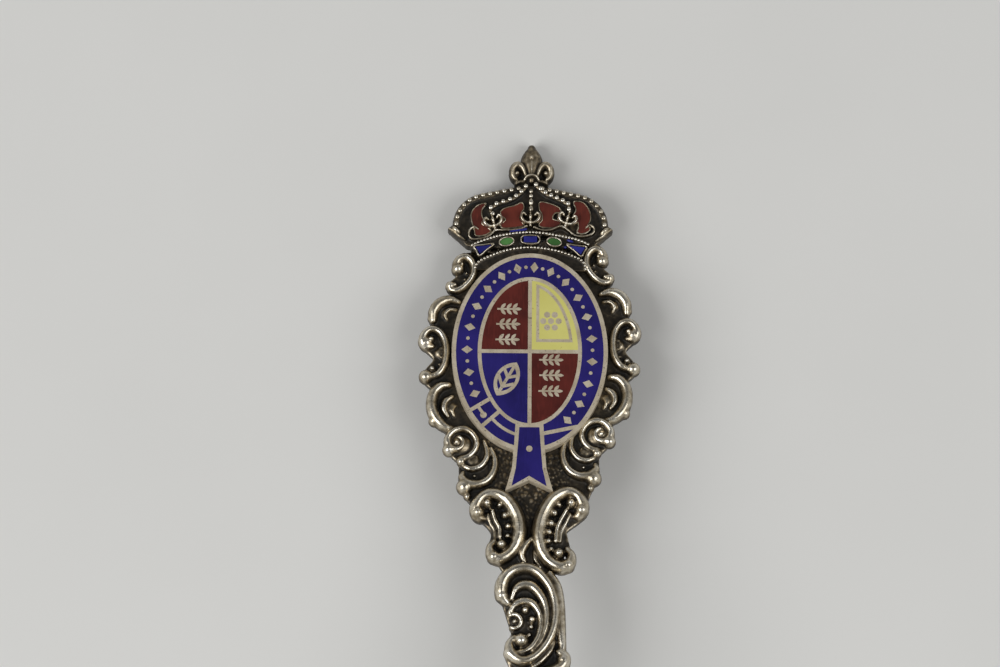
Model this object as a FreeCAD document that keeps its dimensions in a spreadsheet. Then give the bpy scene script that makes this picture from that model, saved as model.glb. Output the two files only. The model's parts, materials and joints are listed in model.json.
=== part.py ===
"""Enamelled silver souvenir spoon, modelled in millimetres as a parametric document.

The spoon lies face up on a table: +Y runs from the bowl's tip to the finial, +X to the right, +Z up.
The head (scroll frame, medallion, crown) is drawn flat in its own plane, X across, Y towards the
finial, Z out of the face from the flat back, with its origin at the centre of the oval. HEAD then
lays that plane on the spoon's slope.
"""
import FreeCAD, Part
import math
import os

doc = FreeCAD.newDocument("SouvenirSpoon")
V = FreeCAD.Vector
Z_AXIS = V(0, 0, 1)

SIZES = {
    # the whole spoon
    "overall_length": 132.8,
    "handle_slope": 7.5,
    "straight_run": 45.8,
    "arch_radius": 150.0,
    "finial_reach": 18.7,
    # the bowl
    "bowl_width": 27.0,
    "bowl_tip_run": 25.0,
    "bowl_heel_run": 18.0,
    "bowl_depth": 6.3,
    "bowl_wall": 0.8,
    "heel_length": 9.0,
    "heel_width": 3.4,
    "heel_drop": 2.6,
    # the head, measured out from its flat back
    "plate_thick": 1.0,
    "plaque_thick": 1.1,
    "enamel_deep": 0.45,
    "crown_thick": 1.5,
    "circlet_thick": 1.9,
    # the oval medallion
    "rim_half_high": 8.6,
    "rim_half_wide": 6.5,
    "rim_line": 0.36,
    "shield_half_high": 6.5,
    "shield_half_wide": 4.34,
    "line_width": 0.32,
    "fine_line": 0.26,
    "twig_width": 0.15,
    "tail_length": 11.9,
    "tail_top_half": 1.15,
    "tail_foot_half": 1.95,
    # crown and circlet
    "arch_half_wide": 6.5,
    "arch_rise": 4.05,
    "circlet_top_radius": 11.2,
    "circlet_top_rise": 10.78,
    "circlet_foot_radius": 9.0,
    "circlet_foot_rise": 9.12,
    "circlet_half_wide": 4.9,
    "pearl_radius": 0.25,
    "beading_radius": 0.13,
    "beading_rail": 0.1,
}

sheet = doc.addObject("Spreadsheet::Sheet", "Sizes")
for row, (alias, size) in enumerate(SIZES.items(), start=1):
    sheet.set(f"A{row}", alias)
    sheet.set(f"B{row}", str(size))
    sheet.setAlias(f"B{row}", alias)
doc.recompute()


def size(alias):
    """A driving dimension as the sheet holds it."""
    return float(sheet.get(alias))


def bind(thing, **expressions):
    """Ties properties to the sheet; a double underscore in a name stands for a dot."""
    for prop, expression in expressions.items():
        thing.setExpression(prop.replace("__", "."), expression)
    return thing


def at(x, y, z=0.0, turn=0.0):
    """A place in the head's plane, turned in that plane."""
    return FreeCAD.Placement(V(x, y, z), FreeCAD.Rotation(Z_AXIS, turn))


# Heights in the head, as expressions over the sheet.
FACE = "Sizes.plate_thick + Sizes.plaque_thick"
FLOOR = "Sizes.plate_thick + Sizes.plaque_thick - Sizes.enamel_deep"
CROWN_FLOOR = "Sizes.crown_thick - Sizes.enamel_deep"
CIRCLET_FLOOR = "Sizes.circlet_thick - Sizes.enamel_deep"

# Where the head lies: its back falls to the table at the finial's tip.
slope = math.radians(size("handle_slope"))
tip_y = size("overall_length") / 2 - size("circlet_thick") / 2 * math.sin(slope)
HEAD = FreeCAD.Placement(
    V(0, tip_y - size("finial_reach") * math.cos(slope), size("finial_reach") * math.sin(slope)),
    FreeCAD.Rotation(V(1, 0, 0), -size("handle_slope")),
)

sub_parts = []


def sub_part(label, *pieces, placement=FreeCAD.Placement()):
    """A finished piece of the spoon: the shapes given, under one label, laid in place."""
    made = doc.addObject("Part::Compound", label)
    made.Label = label
    made.Links = list(pieces)
    made.Placement = placement
    sub_parts.append(made)
    return made


def fuse(name, *shapes):
    made = doc.addObject("Part::MultiFuse", name)
    made.Shapes = list(shapes)
    return made


def cut(name, base, *tools):
    made = doc.addObject("Part::Cut", name)
    made.Base = base
    made.Tool = tools[0] if len(tools) == 1 else fuse(name + "_tools", *tools)
    return made


def common(name, first, second):
    made = doc.addObject("Part::MultiCommon", name)
    made.Shapes = [first, second]
    return made


def raised(name, outline, base, height):
    """A closed outline in the head's plane, raised from one height by another."""
    made = doc.addObject("Part::Extrusion", name)
    made.Base = outline
    made.DirMode = "Custom"
    made.Dir = Z_AXIS
    made.Solid = True
    return bind(made, LengthFwd=height, Placement__Base__z=base)


def oval(name, half_high, half_wide, base=FLOOR, height="Sizes.enamel_deep"):
    outline = doc.addObject("Part::Ellipse", name + "_outline")
    outline.Placement = at(0, 0, turn=90)
    bind(outline, MajorRadius=half_high, MinorRadius=half_wide)
    return raised(name, outline, base, height)


def shape_from(name, points, base=FLOOR, height="Sizes.enamel_deep"):
    """A straight-sided outline, raised."""
    outline = doc.addObject("Part::Polygon", name + "_outline")
    outline.Nodes = [V(x, y, 0) for x, y in points]
    outline.Close = True
    return raised(name, outline, base, height)


def strip(name, start, end, width, base=FLOOR, height="Sizes.enamel_deep"):
    """A straight line of metal of an even width between two points."""
    run = V(*end, 0) - V(*start, 0)
    made = doc.addObject("Part::Box", name)
    made.Length = run.Length
    turn = math.degrees(math.atan2(run.y, run.x))
    half = size(width) / 2
    side = V(math.sin(math.radians(turn)), -math.cos(math.radians(turn)), 0) * half
    made.Placement = at(start[0] + side.x, start[1] + side.y, turn=turn)
    return bind(made, Width="Sizes." + width, Height=height, Placement__Base__z=base)


def disc(name, x, y, radius, base=FLOOR, height="Sizes.enamel_deep"):
    made = doc.addObject("Part::Cylinder", name)
    made.Radius = radius
    made.Placement = at(x, y)
    return bind(made, Height=height, Placement__Base__z=base)


def lens(name, x, y, length, width, turn, base=FLOOR, height="Sizes.enamel_deep"):
    """A pointed leaf: two equal arcs that meet at both ends."""
    half, rise = length / 2, width / 2
    placed = at(x, y, turn=turn)
    ends = [V(-half, 0, 0), V(half, 0, 0)]
    arcs = [
        Part.Arc(ends[0], V(0, rise, 0), ends[1]).toShape(),
        Part.Arc(ends[1], V(0, -rise, 0), ends[0]).toShape(),
    ]
    outline = doc.addObject("Part::Feature", name + "_outline")
    outline.Shape = Part.Wire(arcs)
    outline.Placement = placed
    return raised(name, outline, base, height)


def dome(name, x, y, radius, base, long_radius=0.0, turn=0.0, rise=0.0):
    """Half a round or oval grain standing on a face."""
    made = doc.addObject("Part::Ellipsoid", name)
    made.Radius1 = rise or radius
    made.Radius2 = long_radius or radius
    made.Radius3 = radius
    made.Angle1 = 0
    made.Placement = at(x, y, turn=turn)
    return bind(made, Placement__Base__z=base)


def ball(name, x, y, radius):
    """A round scroll end or bead, centred on the ground of the head."""
    made = doc.addObject("Part::Sphere", name)
    made.Radius = radius
    made.Placement = at(x, y)
    return bind(made, Placement__Base__z="Sizes.plate_thick")


def curl(name, x, y, radius, tube, start, sweep):
    """Part of a scroll: a round bar bent to an arc, centred on the ground of the head."""
    made = doc.addObject("Part::Torus", name)
    made.Radius1 = radius
    made.Radius2 = tube
    made.Angle3 = sweep
    made.Placement = at(x, y, turn=start)
    return bind(made, Placement__Base__z="Sizes.plate_thick")


def flat_body(name, outline_points, height):
    """A PartDesign plate: a closed sketch on the head's back plane, padded."""
    body = doc.addObject("PartDesign::Body", name)
    sketch = body.newObject("Sketcher::SketchObject", name + "_sketch")
    plane = next(f for f in body.Origin.OriginFeatures if f.Role == "XY_Plane")
    sketch.AttachmentSupport = [(plane, "")]
    sketch.MapMode = "FlatFace"
    points = [V(x, y, 0) for x, y in outline_points]
    sides = [Part.LineSegment(a, b) for a, b in zip(points, points[1:] + points[:1])]
    sketch.addGeometry(sides, False)
    pad = body.newObject("PartDesign::Pad", name + "_pad")
    pad.Profile = sketch
    bind(pad, Length=height)
    return body


def mirrored(half):
    """An outline's right half, given from top to bottom, with its left half added."""
    return half + [(-x, y) for x, y in reversed(half) if x > 0]


# ---------------------------------------------------------------- champlevé medallion

PLAQUE = ("Sizes.plate_thick", "Sizes.plaque_thick")
rim = oval("rim", "Sizes.rim_half_high", "Sizes.rim_half_wide", *PLAQUE)
strap_outer = oval(
    "strap_outer", "Sizes.rim_half_high - Sizes.rim_line", "Sizes.rim_half_wide - Sizes.rim_line"
)
shield_outer = oval("shield_outer", "Sizes.shield_half_high", "Sizes.shield_half_wide")
shield_inner = oval(
    "shield_inner",
    "Sizes.shield_half_high - Sizes.line_width",
    "Sizes.shield_half_wide - Sizes.line_width",
)

TAIL_TOP = -6.2
TAIL_WAIST = (1.25, -8.0)
TAIL_NOTCH = -11.0


def tail_outline(inset):
    """The strap's hanging end, from its fold to its forked foot, in by a line's width."""
    foot = -size("tail_length")
    return mirrored(
        [
            (size("tail_top_half") - inset, TAIL_TOP - inset),
            (TAIL_WAIST[0] - inset, TAIL_WAIST[1]),
            (1.42 - inset, -10.0),
            (size("tail_foot_half") - 1.6 * inset, foot + 1.2 * inset),
            (0, TAIL_NOTCH + 1.1 * inset),
        ]
    )


tail_plate = shape_from("tail_plate", tail_outline(0), *PLAQUE)
tail_cover = shape_from("tail_cover", tail_outline(0))
tail_cell = shape_from("tail_cell", tail_outline(size("line_width")))
tail_rivet = disc("tail_rivet", 0, -8.35, 0.26)
tail_enamel = cut("tail_enamel", tail_cell, tail_rivet)

# Lines that part the strap into cells: the buckle's two bars, the strap's loose edge, the overlap.
BUCKLE_UPPER = [(-3.35, -4.15), (-5.05, -5.2)]
BUCKLE_LOWER = [(-2.5, -5.2), (-4.25, -6.75)]
OVERLAP = [(0.9, -7.1), (4.6, -6.3)]
buckle_upper = strip("buckle_upper", *BUCKLE_UPPER, "line_width")
buckle_lower = strip("buckle_lower", *BUCKLE_LOWER, "line_width")
overlap_edge = strip("overlap_edge", *OVERLAP, "line_width")
loose_edge_outer = oval("loose_edge_outer", "7.45", "5.2")
loose_edge_inner = oval("loose_edge_inner", "7.45 - Sizes.fine_line", "5.2 - Sizes.fine_line")
loose_edge = cut("loose_edge", loose_edge_outer, loose_edge_inner)

strap_ring = cut("strap_ring", strap_outer, shield_outer, tail_cover)

# Little lozenges and dots stand in the strap's enamel, spaced evenly along its middle.
STRAP_MID = (5.22, 7.38)
ORNAMENT_COUNT = 18
ORNAMENT_FIRST, ORNAMENT_LAST = -53.0, 210.0
LOZENGE_HALF = (0.34, 0.47)
DOT_RADIUS = 0.15


def on_strap(angle):
    """A point on the strap's middle line and the way that line runs there."""
    a = math.radians(angle)
    x, y = STRAP_MID[0] * math.cos(a), STRAP_MID[1] * math.sin(a)
    along = math.degrees(math.atan2(STRAP_MID[1] * math.cos(a), -STRAP_MID[0] * math.sin(a)))
    return x, y, along


def lozenge(name, x, y, along):
    half_long, half_high = LOZENGE_HALF
    outline = [(half_long, 0), (0, half_high), (-half_long, 0), (0, -half_high)]
    a = math.radians(along)
    across, up = math.cos(a), math.sin(a)
    turned = [(x + p * across - q * up, y + p * up + q * across) for p, q in outline]
    return shape_from(name, turned)


ornaments = []
pitch = (ORNAMENT_LAST - ORNAMENT_FIRST) / (ORNAMENT_COUNT - 1)
for n in range(ORNAMENT_COUNT):
    x, y, along = on_strap(ORNAMENT_FIRST + n * pitch)
    ornaments.append(lozenge(f"strap_lozenge_{n}", x, y, along))
    if n < ORNAMENT_COUNT - 1:
        x, y, along = on_strap(ORNAMENT_FIRST + (n + 0.5) * pitch)
        ornaments.append(disc(f"strap_dot_{n}", x, y, DOT_RADIUS))

# The strap's cells are the ring between the lines, picked out by the field each lies in.
prong = strip("prong", (-4.6, -4.3), (-3.85, -5.35), "fine_line")
prong_knob = disc("prong_knob", -3.8, -5.5, 0.27)
field_main = shape_from(
    "field_main", [(-8, -7.1), (-3.0, -3.95), (0, -5), (0.5, -7.02), (5, -6.2), (8, 0), (8, 10), (-8, 10)]
)
field_buckle = shape_from("field_buckle", [(-2.6, -3.7), (-5.5, -5.5), (-4.4, -6.9), (-1.5, -4.4)])
field_below = shape_from("field_below", [(-1.5, -4.4), (-4.4, -6.9), (-4.4, -9), (0, -9), (0, -5)])
field_overlap = shape_from("field_overlap", [(0.5, -7.1), (5.2, -6.1), (5.2, -9), (0.5, -9)])

strap_enamel = cut(
    "strap_enamel", common("strap_main", strap_ring, field_main), buckle_upper, overlap_edge, *ornaments
)
buckle_enamel = cut(
    "buckle_enamel",
    common("strap_buckle", strap_ring, field_buckle),
    buckle_upper,
    buckle_lower,
    prong,
    prong_knob,
)
strap_below = common("strap_below", strap_ring, field_below)
inner_strap_enamel = cut(
    "inner_strap_enamel", common("strap_below_inner", strap_below, loose_edge_inner), buckle_lower
)
outer_strap_enamel = cut("outer_strap_enamel", strap_below, loose_edge_outer, buckle_lower)
overlap_enamel = cut("overlap_enamel", common("strap_overlap", strap_ring, field_overlap), overlap_edge)

# The shield's quarters: each is the inner oval inside its own corner.
GAP = size("line_width") / 2
FAR = 9.0
quarters = {}
for corner, sign_x, sign_y in (("nw", -1, 1), ("ne", 1, 1), ("sw", -1, -1), ("se", 1, -1)):
    near_x, far_x, near_y, far_y = sign_x * GAP, sign_x * FAR, sign_y * GAP, sign_y * FAR
    outline = [(near_x, near_y), (far_x, near_y), (far_x, far_y), (near_x, far_y)]
    field = shape_from("field_" + corner, outline)
    quarters[corner] = common("quarter_" + corner, shield_inner, field)


SPRIG_HALF = 1.02
SPRIG_LEAF = (0.62, 0.27)
SPRIG_NODES = (-0.62, -0.12, 0.38)


def sprig(name, x, y):
    """A leafy twig lying level, the plain charge of the red quarters."""
    length, width = SPRIG_LEAF
    pieces = [
        strip(name + "_twig", (x - SPRIG_HALF, y), (x + SPRIG_HALF - length / 2, y), "twig_width"),
        lens(name + "_tip", x + SPRIG_HALF - length / 2, y, length, width, 0),
    ]
    for n, node in enumerate(SPRIG_NODES):
        for side in (-1, 1):
            leaf_y = y + side * 0.26
            pieces.append(lens(f"{name}_leaf_{n}_{side}", x + node + 0.1, leaf_y, length, width, side * 48))
    return pieces


SPRIGS_NW = [(-1.72, 3.69), (-1.8, 2.37), (-1.85, 1.02)]
SPRIGS_SE = [(1.8, -0.72), (1.82, -2.05), (1.75, -3.41)]
sprigs_nw = [piece for n, (x, y) in enumerate(SPRIGS_NW) for piece in sprig(f"sprig_nw_{n}", x, y)]
sprigs_se = [piece for n, (x, y) in enumerate(SPRIGS_SE) for piece in sprig(f"sprig_se_{n}", x, y)]
red_upper = cut("red_upper", quarters["nw"], *sprigs_nw)
red_lower = cut("red_lower", quarters["se"], *sprigs_se)

# Yellow quarter: a single inner border follows its edge, and a rosette lies in the middle.
INNER_BORDER = (3.6, 5.95)
BORDER_INSET = (0.52, 0.82)
ROSETTE = (1.75, 2.65)
PETALS = 6
border_field = shape_from(
    "border_field", [BORDER_INSET, (FAR, BORDER_INSET[1]), (FAR, FAR), (BORDER_INSET[0], FAR)]
)
inside = size("fine_line")
border_void_field = shape_from(
    "border_void_field",
    [
        (BORDER_INSET[0] + inside, BORDER_INSET[1] + inside),
        (FAR, BORDER_INSET[1] + inside),
        (FAR, FAR),
        (BORDER_INSET[0] + inside, FAR),
    ],
)
border_oval = oval("border_oval", f"{INNER_BORDER[1]}", f"{INNER_BORDER[0]}")
border_void_oval = oval(
    "border_void_oval", f"{INNER_BORDER[1]} - Sizes.fine_line", f"{INNER_BORDER[0]} - Sizes.fine_line"
)
border_area = common("border_area", border_oval, border_field)
border_void = common("border_void", border_void_oval, border_void_field)
rosette = [disc("rosette_eye", *ROSETTE, 0.26)]
for n in range(PETALS):
    a = math.radians(n * 360 / PETALS)
    x, y = ROSETTE[0] + 0.64 * math.cos(a), ROSETTE[1] + 0.64 * math.sin(a)
    rosette.append(disc(f"rosette_petal_{n}", x, y, 0.26))
yellow_border = cut("yellow_border", quarters["ne"], border_area)
yellow_field = cut("yellow_field", border_void, *rosette)

# Blue quarter: a large veined leaf.
LEAF = (-1.9, -2.4)
LEAF_TURN = 60
LEAF_SIZE = (3.3, 1.95)
leaf_outer = lens("leaf_outer", *LEAF, *LEAF_SIZE, LEAF_TURN)
leaf_inner = lens("leaf_inner", *LEAF, LEAF_SIZE[0] - 0.85, LEAF_SIZE[1] - 0.56, LEAF_TURN)
leaf_edge = cut("leaf_edge", leaf_outer, leaf_inner)
leaf_axis = V(math.cos(math.radians(LEAF_TURN)), math.sin(math.radians(LEAF_TURN)), 0)


def on_leaf(along, aside=0.0):
    """A point in the leaf's own frame, as a point of the head's plane."""
    return (
        LEAF[0] + along * leaf_axis.x - aside * leaf_axis.y,
        LEAF[1] + along * leaf_axis.y + aside * leaf_axis.x,
    )


midrib = strip("midrib", on_leaf(-1.45), on_leaf(1.45), "fine_line")
veins = []
for n, (root, reach) in enumerate(((-0.75, 0.75), (0.15, 0.68))):
    for side in (-1, 1):
        tip = on_leaf(root + reach, side * 0.8)
        veins.append(strip(f"vein_{n}_{side}", on_leaf(root), tip, "fine_line"))
leaf = fuse("leaf", leaf_edge, midrib, *[common(f"{v.Name}_kept", v, leaf_outer) for v in veins])
blue_quarter = cut("blue_quarter", quarters["sw"], leaf)

ENAMELS = {
    "strap_enamel_main": strap_enamel,
    "strap_enamel_buckle": buckle_enamel,
    "strap_enamel_inner": inner_strap_enamel,
    "strap_enamel_outer": outer_strap_enamel,
    "strap_enamel_overlap": overlap_enamel,
    "strap_enamel_tail": tail_enamel,
    "quarter_enamel_red_upper": red_upper,
    "quarter_enamel_yellow_border": yellow_border,
    "quarter_enamel_yellow_field": yellow_field,
    "quarter_enamel_blue": blue_quarter,
    "quarter_enamel_red_lower": red_lower,
}
plaque_blank = fuse("plaque_blank", rim, tail_plate)
plaque = cut("plaque", plaque_blank, *ENAMELS.values())
sub_part("medallion", plaque, placement=HEAD)
for label, enamel in ENAMELS.items():
    sub_part(label, enamel, placement=HEAD)

# ---------------------------------------------------------------- crown

ARCH_FOOT = 10.8
ARCH_POWER = 2.5


def on_arch(x, inset=0.0):
    """Height of the crown's swelling outline at x, in by an inset."""
    half = size("arch_half_wide") - inset
    share = max(0.0, 1 - (abs(x) / half) ** ARCH_POWER)
    return ARCH_FOOT + (size("arch_rise") - inset) * share ** (1 / ARCH_POWER)


def on_circle(x, rise, radius):
    """Height at x of an arc that tops out at rise on the middle line."""
    return rise - radius + math.sqrt(radius**2 - x**2)


def circlet_top(x):
    return on_circle(x, size("circlet_top_rise"), size("circlet_top_radius"))


def circlet_foot(x):
    return on_circle(x, size("circlet_foot_rise"), size("circlet_foot_radius"))


HORN_TIP = (7.0, 11.05)
HORN_ROOT = (5.55, 9.65)
arch_stations = [0.0, 0.9, 1.8, 2.7, 3.6, 4.4, 5.1, 5.6, 6.0, 6.3]
foot_stations = [4.9, 3.7, 2.5, 1.3]
crown_half = (
    [(x, on_arch(x)) for x in arch_stations]
    + [HORN_TIP, HORN_ROOT]
    + [(x, circlet_top(x)) for x in foot_stations]
    + [(0.0, circlet_top(0.0))]
)
crown_blank = flat_body("crown_blank", mirrored(crown_half), "Sizes.crown_thick")

CROWN_CELLS = {
    "left_outer": [
        (-5.0, 11.8), (-4.98, 12.45), (-4.5, 13.05), (-3.75, 13.25), (-4.1, 12.7), (-4.12, 12.2),
        (-4.0, 11.8), (-4.1, 11.4), (-3.5, 11.0), (-3.35, 10.7), (-3.9, 10.4), (-4.6, 10.35), (-4.75, 10.9),
    ],
    "left_inner": [
        (-2.55, 12.5), (-2.15, 12.85), (-1.4, 13.05), (-0.72, 13.35), (-0.55, 12.85), (-0.75, 12.5),
        (-0.9, 12.0), (-0.65, 11.5), (-0.5, 11.3), (-1.2, 11.12), (-2.35, 11.05), (-2.5, 11.35),
        (-2.1, 11.8), (-2.4, 12.1),
    ],
    "right_inner": [
        (0.8, 13.4), (1.7, 13.25), (2.45, 12.9), (2.55, 12.5), (2.05, 12.4), (1.9, 11.9), (2.6, 11.6),
        (2.1, 11.15), (0.95, 11.15), (0.7, 11.4), (1.0, 11.8), (0.95, 12.35), (0.75, 12.75),
    ],
    "right_outer": [
        (3.65, 13.45), (4.45, 13.4), (4.98, 12.7), (5.1, 11.95), (4.9, 11.4), (5.05, 10.95),
        (4.5, 10.6), (3.95, 10.7), (4.05, 11.1), (4.0, 11.7), (3.6, 12.1), (3.85, 12.75),
    ],
}
crown_cells = {}
for place, outline in CROWN_CELLS.items():
    label = f"crown_enamel_{place}"
    crown_cells[label] = shape_from(label + "_cell", outline, CROWN_FLOOR)
crown_plate = cut("crown_plate", crown_blank, *crown_cells.values())

TOP = "Sizes.crown_thick"
OUTER_PEARLS = 12
OUTER_PEARL_ENDS = (6.12, 1.35)
INNER_PEARLS = [
    (-0.42, 14.5), (-0.85, 14.12), (-1.4, 13.72), (-2.09, 13.42), (-2.79, 13.2), (-3.36, 12.75),
    (0.42, 14.5), (0.88, 14.2), (1.42, 13.9), (2.05, 13.65), (2.62, 13.4), (3.2, 13.1),
]
MIDDLE_PEARLS = [(14.05, 0.2), (13.6, 0.22), (13.02, 0.3)]


def spaced(count, ends, height):
    """Points at even steps along a curve given as a height over x, between two values of x."""
    steps = 400
    xs = [ends[0] + (ends[1] - ends[0]) * n / steps for n in range(steps + 1)]
    curve = [V(x, height(x), 0) for x in xs]
    runs = [0.0]
    for a, b in zip(curve, curve[1:]):
        runs.append(runs[-1] + (b - a).Length)
    wanted = [runs[-1] * n / (count - 1) for n in range(count)]
    return [curve[min(range(steps + 1), key=lambda i: abs(runs[i] - want))] for want in wanted]


pearls = []
pearl = size("pearl_radius")
for sign in (-1, 1):
    for n, p in enumerate(spaced(OUTER_PEARLS, OUTER_PEARL_ENDS, lambda x: on_arch(x, 0.32))):
        pearls.append(dome(f"outer_pearl_{sign}_{n}", sign * p.x, p.y, pearl, TOP))
for n, (x, y) in enumerate(INNER_PEARLS):
    pearls.append(dome(f"inner_pearl_{n}", x, y, pearl, TOP))
for n, (y, length) in enumerate(MIDDLE_PEARLS):
    pearls.append(dome(f"middle_pearl_{n}", 0, y, 0.22, TOP, long_radius=length, turn=90))


def fleuron(name, x, y, lean):
    """A small three-lobed leaf that stands on the circlet."""
    a = math.radians(90 + lean)
    up, out = V(math.cos(a), math.sin(a), 0), V(math.sin(a), -math.cos(a), 0)
    foot = V(x, y, 0)
    middle, left, right = foot + up * 0.75, foot - out * 0.55 + up * 0.35, foot + out * 0.55 + up * 0.35
    return fuse(
        name,
        dome(name + "_bud", middle.x, middle.y, 0.27, TOP, long_radius=0.55, turn=90 + lean, rise=0.45),
        dome(name + "_left", left.x, left.y, 0.26, TOP, long_radius=0.42, turn=150 + lean, rise=0.4),
        dome(name + "_right", right.x, right.y, 0.26, TOP, long_radius=0.42, turn=30 + lean, rise=0.4),
        dome(name + "_foot", x, y, 0.3, TOP, rise=0.35),
    )


FLEURONS = [(-3.05, 11.05, 14), (0.0, 11.35, 0), (3.1, 11.3, -14)]
fleurons = [fleuron(f"fleuron_{n}", *place) for n, place in enumerate(FLEURONS)]

sub_part("crown", crown_plate, placement=HEAD)
for label, cell in crown_cells.items():
    sub_part(label, cell, placement=HEAD)
sub_part("crown_pearls", *pearls, placement=HEAD)
sub_part("crown_fleurons", *fleurons, placement=HEAD)

# The circlet below the crown, its jewels and its two rows of beading.
circlet_stations = [4.9, 4.4, 3.6, 2.7, 1.8, 0.9]
FOOT_END = 4.55
foot_xs = [FOOT_END, 3.9, 3.2, 2.4, 1.6, 0.8]
circlet_half = (
    [(0.0, circlet_top(0.0))]
    + [(x, circlet_top(x)) for x in reversed(circlet_stations)]
    + [(x, circlet_foot(x)) for x in foot_xs]
    + [(0.0, circlet_foot(0.0))]
)
circlet_blank = flat_body("circlet_blank", mirrored(circlet_half), "Sizes.circlet_thick")
JEWEL_MID = 9.92
JEWEL_REACH = 2.0
JEWEL_SIZE = (0.54, 0.29)
END_JEWEL = [(4.6, 9.22), (3.25, 9.4), (4.25, 8.62)]
JEWEL_HALF = (0.56, 0.26)
middle_top, middle_foot = JEWEL_MID + JEWEL_HALF[1], JEWEL_MID - JEWEL_HALF[1]
middle_outline = mirrored([(JEWEL_HALF[0], middle_top), (JEWEL_HALF[0], middle_foot)])
middle_jewel = shape_from("middle_jewel", middle_outline, CIRCLET_FLOOR)


def oval_jewel(name, x):
    outline = doc.addObject("Part::Ellipse", name + "_outline")
    outline.MajorRadius, outline.MinorRadius = JEWEL_SIZE
    lean = -math.degrees(math.asin(x / size("circlet_top_radius")))
    outline.Placement = at(x, circlet_top(x) - 0.88, turn=lean)
    return raised(name, outline, CIRCLET_FLOOR, "Sizes.enamel_deep")


oval_jewels = [oval_jewel("oval_jewel_left", -JEWEL_REACH), oval_jewel("oval_jewel_right", JEWEL_REACH)]
end_jewels = [
    shape_from(f"end_jewel_{sign}", [(sign * x, y) for x, y in END_JEWEL], CIRCLET_FLOOR) for sign in (-1, 1)
]
circlet = cut("circlet_plate", circlet_blank, middle_jewel, *oval_jewels, *end_jewels)
CIRCLET_TOP = "Sizes.circlet_thick"
grain = size("beading_radius")


RAIL_HALF_WIDE = 0.16
RAIL_REST = 0.17


def beading(name, count, reach, height):
    """A row of small round grains on a low rail along an arc of the circlet."""
    points = spaced(count, (-reach, reach), height)
    above = [(p.x, p.y + RAIL_HALF_WIDE) for p in points]
    below = [(p.x, p.y - RAIL_HALF_WIDE) for p in reversed(points)]
    rail = shape_from(name + "_rail", above + below, CIRCLET_TOP, "Sizes.beading_rail")
    ledge = CIRCLET_TOP + " + Sizes.beading_rail"
    grains = [dome(f"{name}_{n}", p.x, p.y, grain, ledge) for n, p in enumerate(points[1:-1])]
    return fuse(name, rail, *grains)


sub_part("circlet", circlet, placement=HEAD)
sub_part("circlet_jewel_middle", middle_jewel, placement=HEAD)
sub_part("circlet_jewels_green", *oval_jewels, placement=HEAD)
sub_part("circlet_jewels_end", *end_jewels, placement=HEAD)
upper_row = beading("bead_upper", 35, 4.78, lambda x: circlet_top(x) - RAIL_REST)
lower_row = beading("bead_lower", 33, 4.5, lambda x: circlet_foot(x) + RAIL_REST)
sub_part("beading_upper", upper_row, placement=HEAD)
sub_part("beading_lower", lower_row, placement=HEAD)

# ---------------------------------------------------------------- fleur-de-lis finial

BUD = [
    (0.0, size("finial_reach")), (0.3, 18.35), (0.62, 17.75), (0.98, 17.05),
    (0.72, 16.4), (0.42, 15.7), (0.42, 14.6), (0.0, 14.5),
]
bud = flat_body("bud", mirrored(BUD), "1.1")
lobes = []
for side, sign in (("left", -1), ("right", 1)):
    lobes.append(disc(f"lobe_{side}", sign * 1.25, 16.2, 0.6, "0", "1.2"))
    lobes.append(dome(f"lobe_swell_{side}", sign * 1.25, 16.2, 0.5, "1.2", rise=0.4))
    lobes.append(disc(f"lobe_foot_{side}", sign * 0.85, 15.5, 0.42, "0", "1.1"))
COLLAR = [(0.68, 15.8), (0.68, 15.3)]
collar = shape_from("collar", mirrored(COLLAR), "0", "1.6")
fleur = fuse("fleur", bud, *lobes, collar)
sub_part("finial_fleur", cut("fleur_seated", fleur, crown_blank), placement=HEAD)

# ---------------------------------------------------------------- scroll frame


def circle_through(first, middle, last):
    """Centre and radius of the circle through three points."""
    circle = Part.Arc(V(*first, 0), V(*middle, 0), V(*last, 0)).toShape().Curve
    return circle.Center, circle.Radius


def scroll(name, first, middle, last, bar, ends=(0, 0)):
    """A C scroll: a round bar bent through three points, with a round knop at either end."""
    centre, radius = circle_through(first, middle, last)
    angles = [math.degrees(math.atan2(y - centre.y, x - centre.x)) for x, y in (first, middle, last)]
    over = (angles[1] - angles[0]) % 360 < (angles[2] - angles[0]) % 360
    start, stop = (angles[0], angles[2]) if over else (angles[2], angles[0])
    pieces = [curl(name, centre.x, centre.y, radius, bar, start, (stop - start) % 360)]
    for n, (place, knop) in enumerate(zip((first, last), ends)):
        if knop:
            pieces.append(ball(f"{name}_knop_{n}", *place, knop))
    return pieces


# The plain ground that carries the scrolls: an oval behind the medallion, and a foot below it.
GROUND_HALF = (7.5, 9.4)
FOOT_EDGE = [(6.3, -5.5), (5.0, -10.4), (4.5, -12.6), (3.2, -14.9), (3.0, -17.2), (2.65, -19.0)]
ground = oval("ground", str(GROUND_HALF[1]), str(GROUND_HALF[0]), "0", "Sizes.plate_thick")
foot = flat_body("ground_foot", mirrored(FOOT_EDGE), "Sizes.plate_thick")

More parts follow.
